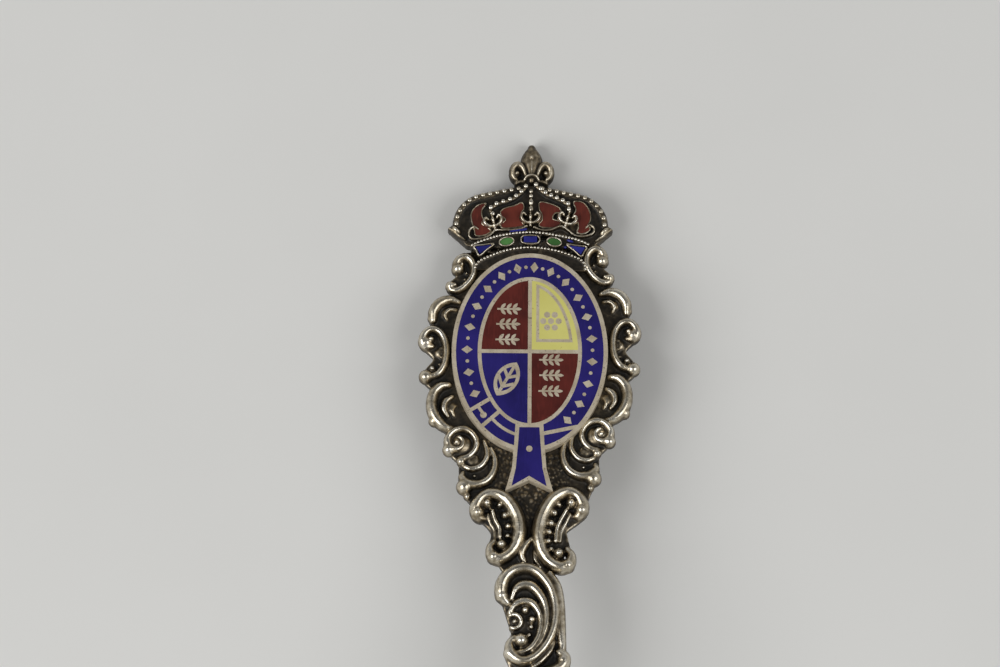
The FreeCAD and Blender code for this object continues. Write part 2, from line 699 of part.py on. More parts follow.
# Scrolls of one side, from the crown down, for the right: first knop, middle, last knop, bar, knops.
SIDE_SCROLLS = {
    "top_scroll": ((6.3, 7.7), (4.75, 7.0), (6.6, 5.9), 0.35, (0.6, 0.5)),
    "upper_leaf": ((6.3, 4.35), (7.8, 3.95), (8.1, 2.5), 0.42, (0.3, 0.45)),
    "great_scroll": ((8.5, 0.95), (7.0, -0.5), (8.5, -2.1), 0.38, (0.62, 0.66)),
    "lower_leaf": ((6.7, -3.05), (8.1, -4.6), (6.9, -6.3), 0.42, (0.35, 0.45)),
    "low_volute": ((6.45, -8.3), (4.95, -7.1), (5.6, -8.95), 0.38, (0.55, 0.4)),
    "foot_leaf": ((3.3, -8.6), (3.2, -10.5), (5.2, -11.4), 0.4, (0.35, 0.68)),
}
SIDE_LIFT = 0.25
scrolls = [ground, foot]
for side, sign in (("left", -1), ("right", 1)):
    for name, (*places, bar, ends) in SIDE_SCROLLS.items():
        here = [(sign * x, y + sign * SIDE_LIFT) for x, y in places]
        scrolls += scroll(f"{name}_{side}", *here, bar, ends)

# The two large C scrolls below the medallion are each drawn for their own side.
LOW_SCROLLS = {
    "low_scroll_left": ((-4.35, -13.6), (-1.1, -15.0), (-3.1, -17.4), 0.5, (0.75, 0.78)),
    "low_scroll_right": ((4.25, -13.4), (0.95, -15.4), (3.0, -18.05), 0.5, (0.8, 0.84)),
}
for name, (*places, bar, ends) in LOW_SCROLLS.items():
    scrolls += scroll(name, *places, bar, ends)
LOW_EYES = [(-3.7, -13.1, 0.4), (-2.4, -16.4, 0.45), (3.3, -13.2, 0.4), (2.35, -17.0, 0.5)]
scrolls += [ball(f"low_eye_{n}", *place) for n, place in enumerate(LOW_EYES)]
frame_blank = fuse("frame_blank", *scrolls)
frame = cut("frame", frame_blank, plaque_blank, crown_blank, circlet_blank)
scroll_frame = sub_part("scroll_frame", frame, placement=HEAD)

# ---------------------------------------------------------------- bowl, stem and heel


def handle_back(run):
    """Y, Z and slope of the handle's back, a distance along it from the finial's tip."""
    straight = size("straight_run")
    y = tip_y - min(run, straight) * math.cos(slope)
    z = min(run, straight) * math.sin(slope)
    angle = slope - max(0.0, run - straight) / size("arch_radius")
    y -= size("arch_radius") * (math.sin(slope) - math.sin(angle))
    z += size("arch_radius") * (math.cos(angle) - math.cos(slope))
    return y, z, angle


rim_height = size("bowl_depth") + size("bowl_wall")
bowl_middle = -size("overall_length") / 2 + size("bowl_tip_run")


def half_egg(name, tipward, inset):
    """A quarter ellipsoid below the bowl's rim, towards its tip or its heel, in by an inset."""
    made = doc.addObject("Part::Ellipsoid", name)
    made.Angle1, made.Angle2, made.Angle3 = -90, 0, 180
    turn = FreeCAD.Rotation(Z_AXIS, 180 if tipward else 0)
    made.Placement = FreeCAD.Placement(V(0, bowl_middle, 0), turn)
    run = "Sizes.bowl_tip_run" if tipward else "Sizes.bowl_heel_run"
    return bind(
        made,
        Radius1=f"Sizes.bowl_depth + Sizes.bowl_wall - {inset}",
        Radius2=f"Sizes.bowl_width / 2 - {inset}",
        Radius3=f"{run} - {inset}",
        Placement__Base__z="Sizes.bowl_depth + Sizes.bowl_wall",
    )


outside = fuse("bowl_outside", half_egg("outer_tip", True, "0"), half_egg("outer_heel", False, "0"))
hollow = fuse(
    "bowl_hollow",
    half_egg("inner_tip", True, "Sizes.bowl_wall"),
    half_egg("inner_heel", False, "Sizes.bowl_wall"),
)
sub_part("bowl", cut("bowl_shell", outside, hollow))

# Distance from the tip, half width, half height and sideways shift of the stem's sections.
STEM_SECTIONS = [
    (37.4, 2.75, 1.05, 0.0),
    (40.5, 2.3, 1.1, 0.35),
    (44.1, 2.5, 1.15, 0.4),
    (48.3, 2.1, 1.15, 0.15),
    (56.8, 1.7, 1.1, 0.0),
    (70.8, 1.45, 1.0, 0.0),
    (82.8, 1.6, 0.95, 0.0),
    (92.3, 2.5, 0.9, 0.0),
]
stem_body = doc.addObject("PartDesign::Body", "stem_body")
cross_plane = next(f for f in stem_body.Origin.OriginFeatures if f.Role == "XZ_Plane")
sections = []
for n, (run, half_wide, half_high, shift) in enumerate(STEM_SECTIONS):
    y, z, _ = handle_back(run)
    sketch = stem_body.newObject("Sketcher::SketchObject", f"stem_section_{n}")
    sketch.AttachmentSupport = [(cross_plane, "")]
    sketch.MapMode = "FlatFace"
    sketch.AttachmentOffset = FreeCAD.Placement(V(0, 0, -y), FreeCAD.Rotation())
    middle = V(shift, z + half_high, 0)
    outline = Part.Ellipse(middle + V(half_wide, 0, 0), middle + V(0, half_high, 0), middle)
    sketch.addGeometry(outline, False)
    sections.append(sketch)
stem_loft = stem_body.newObject("PartDesign::AdditiveLoft", "stem_loft")
stem_loft.Profile = sections[0]
stem_loft.Sections = sections[1:]
stem_loft.Ruled = True

STEM_SCROLL_RISE = 0.95
STEM_SCROLLS = {
    "stem_scroll_outer": ((-2.5, -20.6), (1.75, -20.6), (-1.7, -25.6), 0.42, (0.62, 0.7)),
    "stem_scroll_inner": ((-1.5, -22.2), (1.0, -23.2), (-0.85, -24.9), 0.36, (0.3, 0.45)),
    "stem_scroll_next": ((2.4, -26.1), (0.4, -28.2), (1.9, -31.0), 0.42, (0.72, 0.5)),
}
stem_curls = []
for name, (*places, bar, ends) in STEM_SCROLLS.items():
    stem_curls += scroll(name, *places, bar, ends)
stem_scrolls = fuse("stem_scrolls", *stem_curls)
stem_scrolls.Placement = HEAD.multiply(at(0, 0, STEM_SCROLL_RISE))
stem_blank = fuse("stem_blank", stem_body, stem_scrolls)
stem = cut("stem_seated", stem_blank, scroll_frame, outside)
sub_part("stem", stem)

heel = doc.addObject("Part::Ellipsoid", "heel_blank")
heel_tilt = FreeCAD.Rotation(V(1, 0, 0), 24)
heel.Placement = FreeCAD.Placement(V(0, bowl_middle + size("bowl_heel_run") - 3.2, 0), heel_tilt)
bind(
    heel,
    Radius1="Sizes.heel_drop / 2",
    Radius2="Sizes.heel_width / 2",
    Radius3="Sizes.heel_length / 2",
    Placement__Base__z="Sizes.bowl_depth + Sizes.bowl_wall - 3.1",
)
sub_part("bowl_heel", cut("heel_seated", heel, outside, stem_blank))

# ---------------------------------------------------------------- check and write

doc.recompute()
for thing in doc.Objects:
    if "Invalid" in thing.State or "Error" in thing.State:
        raise RuntimeError(f"{thing.Name} failed: {thing.State}")
os.makedirs("parts", exist_ok=True)
for made in sub_parts:
    shape = made.Shape
    if shape.isNull() or not shape.isValid() or not shape.Solids:
        raise RuntimeError(f"{made.Label} has no sound shape")
    shape.exportStep(os.path.join("parts", made.Label + ".step"))
    box = shape.BoundBox
    print(
        f"{made.Label}: {len(shape.Solids)} solids, {shape.Volume:.2f} mm3,"
        f" {box.XLength:.2f} x {box.YLength:.2f} x {box.ZLength:.2f} mm"
    )
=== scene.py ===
"""Looks of an enamelled silver souvenir spoon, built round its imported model.

The head and the stem are drawn flat, in millimetres: u across, v towards the finial and w out of the
face, with the origin at the middle of the oval. Each casting is made of rolls, knops and plates that are
melted into one skin, and then laid on the slope and the arch of the handle's back.
"""
import json
import math

import bmesh
import bpy
import numpy as np
from mathutils import Matrix, Quaternion, Vector, noise


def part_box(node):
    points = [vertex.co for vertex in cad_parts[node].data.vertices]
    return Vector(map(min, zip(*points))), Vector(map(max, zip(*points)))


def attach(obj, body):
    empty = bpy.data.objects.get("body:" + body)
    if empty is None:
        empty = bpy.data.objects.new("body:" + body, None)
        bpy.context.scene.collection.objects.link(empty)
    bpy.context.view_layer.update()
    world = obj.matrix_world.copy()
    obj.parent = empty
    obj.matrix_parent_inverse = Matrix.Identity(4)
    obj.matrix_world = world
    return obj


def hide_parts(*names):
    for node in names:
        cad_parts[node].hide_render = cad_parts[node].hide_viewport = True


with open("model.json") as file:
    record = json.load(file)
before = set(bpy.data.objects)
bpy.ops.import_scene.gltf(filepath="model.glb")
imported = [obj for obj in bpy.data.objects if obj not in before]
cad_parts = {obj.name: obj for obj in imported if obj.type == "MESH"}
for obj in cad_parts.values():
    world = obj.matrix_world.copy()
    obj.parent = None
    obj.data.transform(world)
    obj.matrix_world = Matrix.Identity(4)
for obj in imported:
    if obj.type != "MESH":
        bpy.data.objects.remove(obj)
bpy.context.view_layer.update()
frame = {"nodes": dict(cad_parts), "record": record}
MM = 0.001

# ---------------------------------------------------------------- where the flat head lies

BACK = next(m for m in frame["record"]["mounts"] if m["name"] == "head_back")
SLOPE = math.asin(-BACK["axis"][1])
UP_SPOON = Vector((0, math.cos(SLOPE), -math.sin(SLOPE)))
OUT_OF_FACE = Vector((0, math.sin(SLOPE), math.cos(SLOPE)))
FACE_HEIGHT = 2.1
MOUNT_V = -4.0
OVAL_MIDDLE = Vector(BACK["pos_m"]) / MM - MOUNT_V * UP_SPOON
BEND_V = -27.1
ARCH_RADIUS = 150.0


def lay(mesh):
    """Takes a flat mesh in millimetres to its place on the spoon, in metres."""
    flat = np.empty(len(mesh.vertices) * 3)
    mesh.vertices.foreach_get("co", flat)
    u, v, w = flat.reshape(-1, 3).T
    past = np.maximum(0.0, BEND_V - v)
    angle = SLOPE - past / ARCH_RADIUS
    along = np.maximum(v, BEND_V)
    y = OVAL_MIDDLE.y + along * math.cos(SLOPE) - ARCH_RADIUS * (math.sin(SLOPE) - np.sin(angle))
    z = OVAL_MIDDLE.z - along * math.sin(SLOPE) + ARCH_RADIUS * (np.cos(angle) - math.cos(SLOPE))
    placed = np.stack([u, y + w * np.sin(angle), z + w * np.cos(angle)], axis=1) * MM
    mesh.vertices.foreach_set("co", placed.ravel())
    mesh.update()


# ---------------------------------------------------------------- tools for flat castings

SIDES = 14
FINE_STEP = 0.16
OUTLINE_STEP = 0.3
NOSE_LEANS = (30, 58, 80)
BOXY = 0.45
BELLY = 0.8
UNDER_SHARE = 0.94
BED = 0.02


def smooth_line(stations, closed=False, step=FINE_STEP):
    """Stations at even steps on a smooth line through those given, sizes and all."""
    given = [np.array(s, dtype=float) for s in stations]
    count = len(given)
    spans = count if closed else count - 1
    line = []
    for n in range(spans):
        if closed:
            a, b, c, d = (given[(n + k) % count] for k in (-1, 0, 1, 2))
        else:
            b, c = given[n], given[n + 1]
            a = given[n - 1] if n else 2 * b - c
            d = given[n + 2] if n + 2 < count else 2 * c - b
        pieces = max(2, round(float(np.hypot(*(c - b)[:2])) / step))
        for t in np.arange(pieces) / pieces:
            curve = 2 * b + (c - a) * t + (2 * a - 5 * b + 4 * c - d) * t**2 + (3 * b - a - 3 * c + d) * t**3
            line.append(curve / 2)
    if not closed:
        line.append(given[-1])
    return line


def rounded_ends(line):
    """Adds shrinking stations past both ends, so that a roll ends in a round nose."""
    for tip, inner in ((0, 1), (-1, -2)):
        end, before = line[tip], line[inner]
        out = (end - before)[:2]
        out = out / max(1e-6, float(np.hypot(*out)))
        nose = []
        for lean in NOSE_LEANS:
            a = math.radians(lean)
            station = end.copy()
            station[:2] += out * end[2] * math.sin(a)
            station[2] *= math.cos(a)
            station[3] = station[4] + (station[3] - station[4]) * math.cos(a)
            nose.append(station)
        line = nose[::-1] + line if tip == 0 else line + nose
    return line


def melt_in(casting, part):
    """Adds a part's mesh to a casting's."""
    mesh = bpy.data.meshes.new("part")
    part.to_mesh(mesh)
    part.free()
    casting.from_mesh(mesh)
    bpy.data.meshes.remove(mesh)


def roll(casting, stations, belly=BELLY, foot=0.0, closed=False, fatter=1.0):
    """A rounded bar on a flat back. A station is u, v, half width and crest height."""
    line = smooth_line([(u, v, wide * fatter, crest, belly) for u, v, wide, crest in stations], closed)
    line = line + line[:2] if closed else rounded_ends(line)
    part = bmesh.new()
    last = []
    for n, (u, v, wide, crest, middle) in enumerate(line):
        run = (line[min(n + 1, len(line) - 1)] - line[max(n - 1, 0)])[:2]
        run = run / max(1e-6, float(np.hypot(*run)))
        ring = bmesh.ops.create_circle(part, cap_ends=False, radius=1, segments=SIDES)["verts"]
        for vert in ring:
            side, rise = vert.co.x, vert.co.y
            if rise < 0:
                side = math.copysign(abs(side) ** BOXY, side)
                w = middle + (middle - foot) * rise
            else:
                w = middle + (crest - middle) * rise
            vert.co = (u - run[1] * side * wide, v + run[0] * side * wide, w)
        edges = sorted({edge for vert in ring for edge in vert.link_edges}, key=lambda edge: edge.index)
        if last:
            bmesh.ops.bridge_loops(part, edges=last + edges)
        last = edges
    bmesh.ops.holes_fill(part, edges=part.edges, sides=0)
    bmesh.ops.recalc_face_normals(part, faces=part.faces)
    melt_in(casting, part)


def knop(casting, u, v, radius, crest, middle=BELLY, long=1.0, turn=0.0):
    """A round or oval boss: its top reaches the crest, and it stays above the back."""
    tall = crest - middle
    place = Matrix.Translation((u, v, middle)) @ Matrix.Rotation(math.radians(turn), 4, "Z")
    swell = Matrix.Diagonal((radius * long, radius, tall, 1))
    ball = bmesh.ops.create_icosphere(casting, subdivisions=3, radius=1, matrix=place @ swell)["verts"]
    under = [vert for vert in ball if vert.co.z < middle]
    squash = min(1.0, UNDER_SHARE * middle / tall)
    bmesh.ops.scale(casting, verts=under, vec=(1, 1, squash), space=Matrix.Translation((0, 0, -middle)))


def plate(casting, outline, high, smooth=True):
    """A flat plate inside a closed outline, up from the bed."""
    points = smooth_line(outline, closed=True, step=OUTLINE_STEP) if smooth else outline
    part = bmesh.new()
    rim = [part.verts.new((p[0], p[1], BED)) for p in points]
    floor = bmesh.ops.contextual_create(part, geom=rim)["faces"]
    raised = bmesh.ops.extrude_face_region(part, geom=floor)["geom"]
    lifted = [g for g in raised if isinstance(g, bmesh.types.BMVert)]
    bmesh.ops.translate(part, verts=lifted, vec=(0, 0, high - BED))
    bmesh.ops.triangulate(part, faces=part.faces)
    bmesh.ops.recalc_face_normals(part, faces=part.faces)
    melt_in(casting, part)


def neighbour_mean(pairs, counts, values):
    """The mean of a value over each vertex's neighbours."""
    total = np.zeros_like(values)
    np.add.at(total, pairs[:, 0], values[pairs[:, 1]])
    np.add.at(total, pairs[:, 1], values[pairs[:, 0]])
    return total / counts.reshape((-1,) + (1,) * (values.ndim - 1))


def settled(pairs, counts, values, rounds):
    """Values after they have spread to their neighbours a number of times."""
    for _ in range(rounds):
        values = 0.5 * values + 0.5 * neighbour_mean(pairs, counts, values)
    return values


def heights_of(mesh):
    """Each vertex's w."""
    flat = np.empty(len(mesh.vertices) * 3)
    mesh.vertices.foreach_get("co", flat)
    return flat.reshape(-1, 3)[:, 2].copy()


def store_wear(mesh, wear):
    """Keeps each vertex's wear where the silver's material reads it."""
    layer = mesh.attributes.new("wear", "FLOAT", "POINT")
    layer.data.foreach_set("value", wear)


NEAR_ROUNDS, WIDE_ROUNDS = 7, 40
NEAR_RELIEF, WIDE_RELIEF = 0.06, 0.20
NEAR_SHARE, WIDE_SHARE = 0.22, 0.30
WEAR_LEVEL, LIFT_SHARE = 0.40, 0.20


def note_wear(mesh, low, high):
    """Stores how worn each point is: 0 in a recess, 1 on a crest that stands above its surroundings."""
    height = heights_of(mesh)
    ends = np.empty(len(mesh.edges) * 2, dtype=np.int64)
    mesh.edges.foreach_get("vertices", ends)
    pairs = ends.reshape(-1, 2)
    counts = np.maximum(1, np.bincount(pairs.ravel(), minlength=len(height))).astype(float)
    near = settled(pairs, counts, height, NEAR_ROUNDS)
    wide = settled(pairs, counts, near, WIDE_ROUNDS)
    relief = (height - near) / NEAR_RELIEF * NEAR_SHARE + (height - wide) / WIDE_RELIEF * WIDE_SHARE
    lifted = np.clip((height - low) / (high - low), 0, 1)
    wear = np.clip(WEAR_LEVEL + LIFT_SHARE * lifted + relief, 0, 1)
    store_wear(mesh, settled(pairs, counts, wear, 2))


def show(name, mesh, material, node=None):
    """Puts a finished mesh in the scene under its name, on the spoon's one body."""
    mesh.name = name
    piece = bpy.data.objects.new(name, mesh)
    bpy.context.collection.objects.link(piece)
    mesh.materials.clear()
    mesh.materials.append(material)
    mesh.shade_smooth()
    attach(piece, "root")
    if node:
        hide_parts(node)
    return piece


SOFTENING = 0.5
SOFTEN_ROUNDS = 3


def cast(name, casting, material, voxel, faces, heights, texture=None):
    """Melts a casting's parts into one skin in place of the node of its name, and notes its wear."""
    mesh = bpy.data.meshes.new(name)
    casting.to_mesh(mesh)
    casting.free()
    blank = bpy.data.objects.new(name + "_blank", mesh)
    bpy.context.collection.objects.link(blank)
    skin = blank.modifiers.new("skin", "REMESH")
    skin.mode = "VOXEL"
    skin.voxel_size = voxel
    soften = blank.modifiers.new("soften", "SMOOTH")
    soften.factor = SOFTENING
    soften.iterations = SOFTEN_ROUNDS
    melted = finished(blank)
    if texture:
        texture(melted)
    note_wear(melted, *heights)
    thin = bpy.data.objects.new(name + "_thin", melted)
    bpy.context.collection.objects.link(thin)
    triangles = sum(len(p.vertices) - 2 for p in melted.polygons)
    fewer = thin.modifiers.new("fewer", "DECIMATE")
    fewer.ratio = min(1.0, faces / max(1, triangles))
    mesh = finished(thin)
    lay(mesh)
    show(name, mesh, material, name)


def finished(blank):
    """The mesh that an object's modifiers make; the object itself goes."""
    bpy.context.view_layer.update()
    ready = blank.evaluated_get(bpy.context.evaluated_depsgraph_get())
    mesh = bpy.data.meshes.new_from_object(ready)
    old = blank.data
    bpy.data.objects.remove(blank)
    bpy.data.meshes.remove(old)
    return mesh


def mirrored(points, lift=0.0):
    """Stations of the left side, taken to the right side and lifted."""
    return [(-p[0], p[1] + lift, *p[2:]) for p in points]


# ---------------------------------------------------------------- materials


class Recipe:
    """Short calls for laying out one material's nodes."""

    def __init__(self, name):
        self.material = bpy.data.materials.new(name)
        self.material.use_nodes = True
        self.tree = self.material.node_tree
        self.shader = self.tree.nodes["Principled BSDF"]
        self.place = self.tree.nodes.new("ShaderNodeTexCoord").outputs["Object"]

    def node(self, kind, **settings):
        made = self.tree.nodes.new("ShaderNode" + kind)
        for key, value in settings.items():
            setattr(made, key, value)
        return made

    def join(self, source, target):
        self.tree.links.new(source, target)

    def stretched(self, scale, turn=0.0):
        mapping = self.node("Mapping")
        mapping.inputs["Scale"].default_value = scale
        mapping.inputs["Rotation"].default_value = (0, 0, turn)
        self.join(self.place, mapping.inputs["Vector"])
        return mapping.outputs["Vector"]

    def noise(self, scale, detail=3.0, rough=0.55, vector=None):
        made = self.node("TexNoise")
        made.inputs["Scale"].default_value = scale
        made.inputs["Detail"].default_value = detail
        made.inputs["Roughness"].default_value = rough
        self.join(vector or self.place, made.inputs["Vector"])
        return made.outputs["Fac"]

    def ramp(self, source, stops):
        made = self.node("ValToRGB")
        bar = made.color_ramp
        while len(bar.elements) < len(stops):
            bar.elements.new(0.5)
        for element, (position, colour) in zip(bar.elements, stops):
            element.position = position
            element.color = (*colour, 1) if len(colour) == 3 else colour
        self.join(source, made.inputs["Fac"])
        return made.outputs["Color"]

    def span(self, source, low, high, to_low, to_high):
        made = self.node("MapRange")
        for key, value in (("From Min", low), ("From Max", high), ("To Min", to_low), ("To Max", to_high)):
            made.inputs[key].default_value = value
        self.join(source, made.inputs["Value"])
        return made.outputs["Result"]

    def blend(self, a, b, amount, way="MIX"):
        made = self.node("Mix", data_type="RGBA", blend_type=way)
        for socket, value in ((made.inputs[0], amount), (made.inputs[6], a), (made.inputs[7], b)):
            if isinstance(value, bpy.types.NodeSocket):
                self.join(value, socket)
            else:
                socket.default_value = value
        return made.outputs[2]

    def sum(self, a, b, way="ADD"):
        made = self.node("Math", operation=way)
        for socket, value in zip(made.inputs, (a, b)):
            if isinstance(value, bpy.types.NodeSocket):
                self.join(value, socket)
            else:
                socket.default_value = value
        return made.outputs[0]

    def bump(self, height, strength, distance):
        made = self.node("Bump")
        made.inputs["Strength"].default_value = strength
        made.inputs["Distance"].default_value = distance
        self.join(height, made.inputs["Height"])
        self.join(made.outputs["Normal"], self.shader.inputs["Normal"])

    def set(self, **sockets):
        for key, value in sockets.items():
            socket = self.shader.inputs[key.replace("_", " ")]
            if isinstance(value, bpy.types.NodeSocket):
                self.join(value, socket)
            else:
                socket.default_value = value


def antique_silver(name, ramp_stops, shine=(0.5, 0.24), lift=0.0):
    """Old silver: black in the recesses, tea-coloured tarnish on the flanks, worn bright on the crests."""
    r = Recipe(name)
    wear = r.node("Attribute", attribute_name="wear").outputs["Fac"]
    drift = r.span(r.noise(420, 4), 0.3, 0.7, -0.09 + lift, 0.09 + lift)
    state = r.sum(wear, drift)
    speck = r.span(r.noise(2600, 2), 0.35, 0.65, -0.06, 0.06)
    colour = r.ramp(r.sum(state, speck), ramp_stops)
    r.set(Base_Color=colour, Metallic=r.span(state, 0.15, 0.45, 0.55, 1.0))
    rub = r.noise(1.0, 3, 0.6, r.stretched((900, 5200, 900), 0.5))
    rough = r.span(state, 0.25, 0.75, shine[0], shine[1])
    r.set(Roughness=r.sum(rough, r.span(rub, 0.3, 0.7, -0.05, 0.07)))
    r.bump(r.sum(r.noise(5200, 3), rub), 0.35, 0.00002)
    return r.material


SILVER_STOPS = [
    (0.20, (0.028, 0.027, 0.025)),
    (0.40, (0.088, 0.074, 0.056)),
    (0.52, (0.30, 0.245, 0.165)),
    (0.64, (0.60, 0.535, 0.415)),
    (0.85, (0.88, 0.845, 0.755)),
]
silver = antique_silver("antique_silver", SILVER_STOPS, lift=-0.035)
dull_silver = antique_silver("tarnished_silver", SILVER_STOPS, shine=(0.55, 0.34), lift=-0.08)


def line_silver():
    """The medallion's own metal: rubbed flat with the glass, pale, finely pitted."""
    r = Recipe("rubbed_silver_line")
    cloud = r.noise(900, 4)
    pits = r.noise(5200, 2)
    stops = [(0.3, (0.54, 0.455, 0.325)), (0.55, (0.70, 0.61, 0.465)), (0.75, (0.82, 0.745, 0.60))]
    colour = r.ramp(cloud, stops)
    colour = r.blend(colour, (0.16, 0.12, 0.08, 1), r.span(pits, 0.60, 0.72, 0, 0.75))
    r.set(Base_Color=colour, Metallic=0.4, Roughness=r.span(pits, 0.3, 0.7, 0.38, 0.55))
    r.bump(r.sum(pits, r.noise(2400, 3)), 0.4, 0.00003)
    return r.material


def bowl_silver():
    """Polished silver with the fine scratches of use and a breath of tarnish."""
    r = Recipe("polished_bowl_silver")
    cloud = r.noise(70, 5, 0.6)
    scratch_a = r.noise(1.0, 2, 0.5, r.stretched((420, 9000, 420), 0.4))
    scratch_b = r.noise(1.0, 2, 0.5, r.stretched((9000, 500, 420), 0.2))
    scratches = r.sum(scratch_a, scratch_b)
    stops = [(0.3, (0.70, 0.64, 0.53)), (0.5, (0.80, 0.77, 0.70)), (0.75, (0.86, 0.84, 0.80))]
    colour = r.ramp(cloud, stops)
    r.set(Base_Color=colour, Metallic=1.0)
    r.set(Roughness=r.sum(r.span(cloud, 0.3, 0.7, 0.20, 0.13), r.span(scratches, 0.8, 1.25, -0.02, 0.07)))
    r.bump(scratches, 0.12, 0.000015)
    return r.material


def enamel(name, deep, bright, hatch=0.0, cloudy=0.25, specks=0.0, speck_colour=(0.25, 0.1, 0.03, 1)):
    """Fired glass: a deep colour that clouds and hatches a little over its bed, under a glossy skin."""
    r = Recipe(name)
    cloud = r.span(r.noise(330, 4), 0.5 - cloudy, 0.5 + cloudy, 0, 1)
    colour = r.blend((*deep, 1), (*bright, 1), cloud)
    if hatch:
        strokes = r.noise(1.0, 2, 0.5, r.stretched((6500, 900, 900), 0.12))
        colour = r.blend(colour, (*bright, 1), r.span(strokes, 0.52, 0.72, 0, hatch))
    dust = r.noise(1500, 2)
    colour = r.blend(colour, speck_colour, r.span(dust, 0.70, 0.76, 0, specks))
    r.set(Base_Color=colour, Roughness=r.span(r.noise(1200, 3), 0.3, 0.7, 0.12, 0.24))
    r.set(IOR=1.5, Specular_IOR_Level=0.3)
    r.bump(r.noise(700, 3), 0.25, 0.00004)
    return r.material


metal_line = line_silver()
bowl_metal = bowl_silver()
blue_glass = enamel("blue_enamel", (0.014, 0.011, 0.095), (0.029, 0.022, 0.195), hatch=0.5)
red_glass = enamel("red_enamel", (0.052, 0.012, 0.011), (0.148, 0.027, 0.021), hatch=0.75)
yellow_glass = enamel("yellow_enamel", (0.66, 0.62, 0.175), (0.76, 0.72, 0.235), specks=0.7)
crown_glass = enamel("crown_red_enamel", (0.060, 0.016, 0.014), (0.205, 0.042, 0.027), hatch=0.6)
jewel_blue = enamel("jewel_blue_enamel", (0.016, 0.016, 0.14), (0.035, 0.04, 0.30), cloudy=0.15)
jewel_green = enamel("jewel_green_enamel", (0.045, 0.13, 0.035), (0.10, 0.27, 0.075), cloudy=0.15)

GLASS = {
    "strap_enamel": blue_glass,
    "quarter_enamel_red": red_glass,
    "quarter_enamel_yellow": yellow_glass,
    "quarter_enamel_blue": blue_glass,
    "crown_enamel": crown_glass,
    "circlet_jewel_middle": jewel_blue,
    "circlet_jewels_end": jewel_blue,
    "circlet_jewels_green": jewel_green,
}


def dress(node, material):
    """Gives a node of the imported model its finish."""
    mesh = frame["nodes"][node].data
    mesh.materials.clear()
    mesh.materials.append(material)


for node in frame["nodes"]:
    for start, glass in GLASS.items():
        if node.startswith(start):
            dress(node, glass)
dress("medallion", metal_line)

# ---------------------------------------------------------------- scroll border of the frame

# Each side scroll: its rolls, then its knops, drawn for the left side.
RIGHT_LIFT = 0.8
EDGE_ROLLS = {
    "top_c": [(-5.95, 7.27, 0.16, 1.35), (-6.22, 7.67, 0.3, 1.6), (-6.05, 8.22, 0.3, 1.75),
              (-5.55, 8.5, 0.3, 1.85), (-5.05, 8.27, 0.3, 1.85), (-4.75, 7.67, 0.3, 1.8),
              (-4.8, 6.92, 0.28, 1.75), (-5.2, 6.22, 0.27, 1.7), (-5.75, 5.72, 0.26, 1.65),
              (-6.3, 5.54, 0.26, 1.6), (-6.72, 5.72, 0.24, 1.5), (-6.85, 6.12, 0.2, 1.4)],
    "upper_leaf": [(-5.95, 4.52, 0.2, 1.5), (-6.75, 4.72, 0.34, 1.7), (-7.55, 4.42, 0.4, 1.8),
                   (-8.05, 3.72, 0.38, 1.75), (-8.1, 2.92, 0.28, 1.55)],
    "upper_leaf_inner": [(-6.2, 3.87, 0.16, 1.3), (-6.75, 3.87, 0.2, 1.4), (-7.1, 3.47, 0.18, 1.35),
                         (-6.95, 3.02, 0.14, 1.2)],
    "great_c": [(-8.1, 0.67, 0.18, 1.35), (-8.65, 0.62, 0.28, 1.55), (-8.95, 1.07, 0.32, 1.75),
                (-8.75, 1.72, 0.3, 1.8), (-8.2, 2.1, 0.28, 1.8), (-7.55, 1.87, 0.28, 1.8),
                (-7.1, 1.12, 0.28, 1.8), (-6.95, 0.02, 0.27, 1.75), (-7.1, -0.98, 0.27, 1.75),
                (-7.55, -1.73, 0.28, 1.75), (-8.15, -1.98, 0.24, 1.6)],
    "lower_leaf": [(-6.75, -2.73, 0.26, 1.6), (-7.35, -2.83, 0.34, 1.75), (-7.9, -3.38, 0.38, 1.8),
                   (-8.12, -4.28, 0.38, 1.8), (-7.95, -5.18, 0.38, 1.8), (-7.45, -5.93, 0.36, 1.75),
                   (-6.8, -6.38, 0.28, 1.6), (-6.2, -6.43, 0.2, 1.4)],
    "lower_leaf_mid": [(-6.45, -3.73, 0.2, 1.4), (-6.95, -4.13, 0.27, 1.5), (-7.1, -4.78, 0.25, 1.5),
                       (-6.75, -5.38, 0.17, 1.3)],
    "lower_leaf_in": [(-6.15, -4.48, 0.14, 1.2), (-6.4, -4.88, 0.17, 1.3), (-6.25, -5.33, 0.13, 1.2)],
    "volute": [(-6.1, -7.23, 0.14, 1.35), (-5.75, -7.18, 0.16, 1.5), (-5.45, -7.53, 0.17, 1.5),
               (-5.6, -8.03, 0.2, 1.5), (-6.15, -8.23, 0.26, 1.6), (-6.65, -7.88, 0.3, 1.7),
               (-6.68, -7.23, 0.28, 1.75), (-6.2, -6.68, 0.27, 1.75), (-5.45, -6.48, 0.26, 1.7),
               (-4.75, -6.83, 0.25, 1.65), (-4.35, -7.53, 0.24, 1.6), (-4.5, -8.28, 0.24, 1.55),
               (-5.05, -8.83, 0.25, 1.5), (-5.7, -8.98, 0.22, 1.4)],
    "foot_crescent": [(-3.75, -7.48, 0.16, 1.3), (-3.5, -8.18, 0.2, 1.4), (-3.5, -8.88, 0.22, 1.45),
                      (-4, -9.63, 0.24, 1.5), (-4.75, -9.88, 0.24, 1.5), (-5.3, -9.68, 0.2, 1.4)],
    "foot_c": [(-3.15, -8.08, 0.15, 1.3), (-2.82, -8.98, 0.22, 1.5), (-2.85, -9.88, 0.26, 1.6),
               (-3.3, -10.73, 0.3, 1.7), (-4.1, -11.18, 0.32, 1.75), (-5, -11.13, 0.34, 1.8),
               (-5.5, -10.63, 0.28, 1.6), (-5.45, -10.23, 0.18, 1.4)],
}
